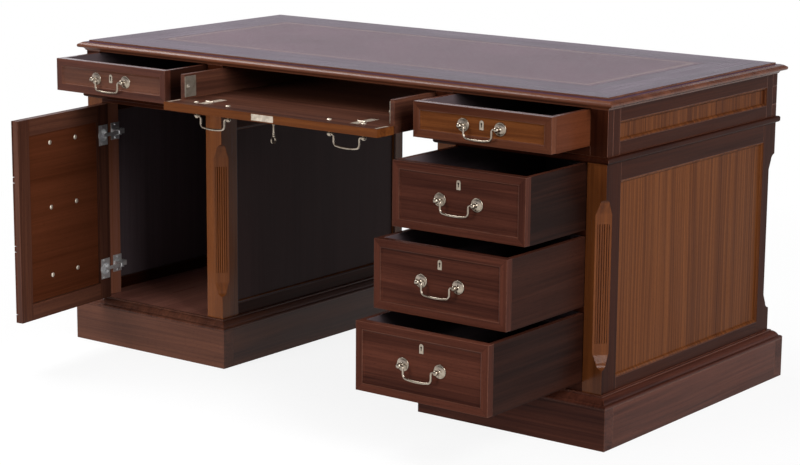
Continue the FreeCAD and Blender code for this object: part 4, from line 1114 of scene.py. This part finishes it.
class DESK_OT_key(bpy.types.Operator):
    """The key in the drop front's lock"""
    bl_idname = "desk.key"
    bl_label = "Key"

    def execute(self, context):
        dress("flap_key", metals()["nickel"], width=FINE_EDGE)
        return {"FINISHED"}


# ---- stage
# Name, place and size of each lamp, and whether polished faces mirror it
LAMPS = (
    ("key", (4.4, -1.3, 2.7), 2.6, True),
    ("fill", (-1.1, -4.6, 1.7), 2.0, False),
    ("top", (-2.3, -0.2, 3.7), 2.0, True),
)
LAMP_TARGET = Vector((0.1, 0.0, 0.45))
FLOOR_REACH = 40.0
SKY_LIGHT = (0.96, 0.94, 1.0)
BACKDROP_TOP, CEILING_START = 0.19, 0.34    # rise of the view where the backdrop darkens
GLOW_START, GLOW_FULL = 1.0, 2.6            # distances over which the floor comes to glow fully
GLOW_NEAR = 0.87                            # part of the floor's light that is glow nearer by


def seen_directly(n):
    """The rays that show a thing itself or its mirror image, and those from the camera"""
    path = n.add("ShaderNodeLightPath").outputs
    mirrored = n.math("MAXIMUM", path["Is Glossy Ray"], path["Is Transmission Ray"])
    return n.math("MAXIMUM", path["Is Camera Ray"], mirrored), path["Is Camera Ray"]


def add_surroundings(scene, stage):
    """A pale room: a white backdrop to a little over the horizon, under a darker ceiling"""
    world = bpy.data.worlds.new("studio")
    scene.world = world
    n = emptied(world)
    seen, by_camera = seen_directly(n)
    rise = n.parts(n.add("ShaderNodeTexCoord").outputs["Generated"])[Z]
    backdrop = n.levels(rise, BACKDROP_TOP, CEILING_START, 1.0, stage.ceiling)
    light = n.add("ShaderNodeBackground",
                  n.mix(by_camera, opaque(SKY_LIGHT), (1.0, 1.0, 1.0, 1.0)),
                  n.mix(seen, stage.sky, backdrop, kind="FLOAT"))
    n.add("ShaderNodeOutputWorld", light.outputs[0])


def floor_paper(stage):
    """Pale paper that takes shadows near the desk and fades into the backdrop"""
    material = bpy.data.materials.new("floor_paper")
    n = emptied(material)
    seen, _ = seen_directly(n)
    dim = opaque(stage.floor_bounce * part for part in stage.floor_colour)
    paper = n.add("ShaderNodeBsdfDiffuse", n.mix(seen, dim, opaque(stage.floor_colour)))
    glow = n.add("ShaderNodeEmission")
    away = n.add("ShaderNodeVectorMath", n.add("ShaderNodeNewGeometry").outputs["Position"],
                 operation="LENGTH").outputs["Value"]
    glowing = n.times(seen, n.levels(away, GLOW_START, GLOW_FULL, GLOW_NEAR, 1.0))
    both = n.add("ShaderNodeMixShader", glowing, paper.outputs[0], glow.outputs[0])
    n.add("ShaderNodeOutputMaterial", both.outputs[0])
    return material


def add_floor(scene, stage):
    """A wide flat floor"""
    mesh = bpy.data.meshes.new("floor")
    corners = [(x * FLOOR_REACH, y * FLOOR_REACH, 0)
               for x, y in ((-1, -1), (1, -1), (1, 1), (-1, 1))]
    mesh.from_pydata(corners, [], [(0, 1, 2, 3)])
    mesh.materials.append(floor_paper(stage))
    floor = bpy.data.objects.new("floor", mesh)
    scene.collection.objects.link(floor)


def add_lamps(scene, stage):
    """Three soft lamps that look at the desk"""
    for name, at, size, mirrored in LAMPS:
        lamp = bpy.data.lights.new(name, "AREA")
        lamp.energy = getattr(stage, name + "_power")
        lamp.size = size
        piece = bpy.data.objects.new(name, lamp)
        piece.location = at
        piece.visible_glossy = mirrored
        piece.rotation_euler = (LAMP_TARGET - Vector(at)).to_track_quat("-Z", "Y").to_euler()
        scene.collection.objects.link(piece)


def add_camera(scene, stage):
    """The camera, turned, tipped down and leaned as the settings say"""
    camera = bpy.data.cameras.new("view")
    camera.sensor_width = 36.0
    camera.sensor_fit = "HORIZONTAL"
    camera.lens = stage.lens * 1000
    camera.clip_start, camera.clip_end = 0.1, 200.0
    turn = (Matrix.Rotation(stage.yaw, 4, "Z")
            @ Matrix.Rotation(math.pi / 2 - stage.pitch, 4, "X")
            @ Matrix.Rotation(stage.roll, 4, "Z"))
    piece = bpy.data.objects.new("camera", camera)
    piece.matrix_world = Matrix.Translation(stage.camera_at) @ turn
    scene.collection.objects.link(piece)
    scene.camera = piece


class DESK_OT_stage(bpy.types.Operator):
    """Floor, soft lamps, pale surroundings and the camera"""
    bl_idname = "desk.stage"
    bl_label = "Stage"

    def execute(self, context):
        scene = context.scene
        scene.view_settings.view_transform = "Standard"
        for add in (add_surroundings, add_floor, add_lamps, add_camera):
            add(scene, scene.desk_stage)
        return {"FINISHED"}


class DESK_PT_panel(bpy.types.Panel):
    """Lists the desk's pieces and settings"""
    bl_label = "Partners desk"
    bl_idname = "DESK_PT_panel"
    bl_space_type = "VIEW_3D"
    bl_region_type = "UI"
    bl_category = "Desk"

    def draw(self, context):
        for piece in PIECES:
            self.layout.operator(piece.bl_idname)
        for group in SETTINGS:
            settings = getattr(context.scene, group)
            box = self.layout.box()
            for name in settings.__annotations__:
                box.prop(settings, name)


SETTINGS = {
    "desk_wood": WoodSettings,
    "desk_leather": LeatherSettings,
    "desk_metal": MetalSettings,
    "desk_stage": StageSettings,
}
PIECES = (DESK_OT_top, DESK_OT_frieze, DESK_OT_pedestals, DESK_OT_drawers, DESK_OT_tray,
          DESK_OT_door, DESK_OT_handles, DESK_OT_escutcheons, DESK_OT_hinges, DESK_OT_key,
          DESK_OT_stage)


def register():
    """Makes the classes and settings known to Blender"""
    for kind in (*SETTINGS.values(), *PIECES, DESK_PT_panel):
        bpy.utils.register_class(kind)
    for name, kind in SETTINGS.items():
        setattr(bpy.types.Scene, name, PointerProperty(type=kind))


def unregister():
    """Takes the settings and classes away again"""
    for name in SETTINGS:
        delattr(bpy.types.Scene, name)
    for kind in (DESK_PT_panel, *reversed(PIECES), *reversed(SETTINGS.values())):
        bpy.utils.unregister_class(kind)


def main():
    """Makes all pieces and the stage"""
    register()
    for piece in PIECES:
        group, name = piece.bl_idname.split(".")
        getattr(getattr(bpy.ops, group), name)()


if __name__ == "__main__":
    main()
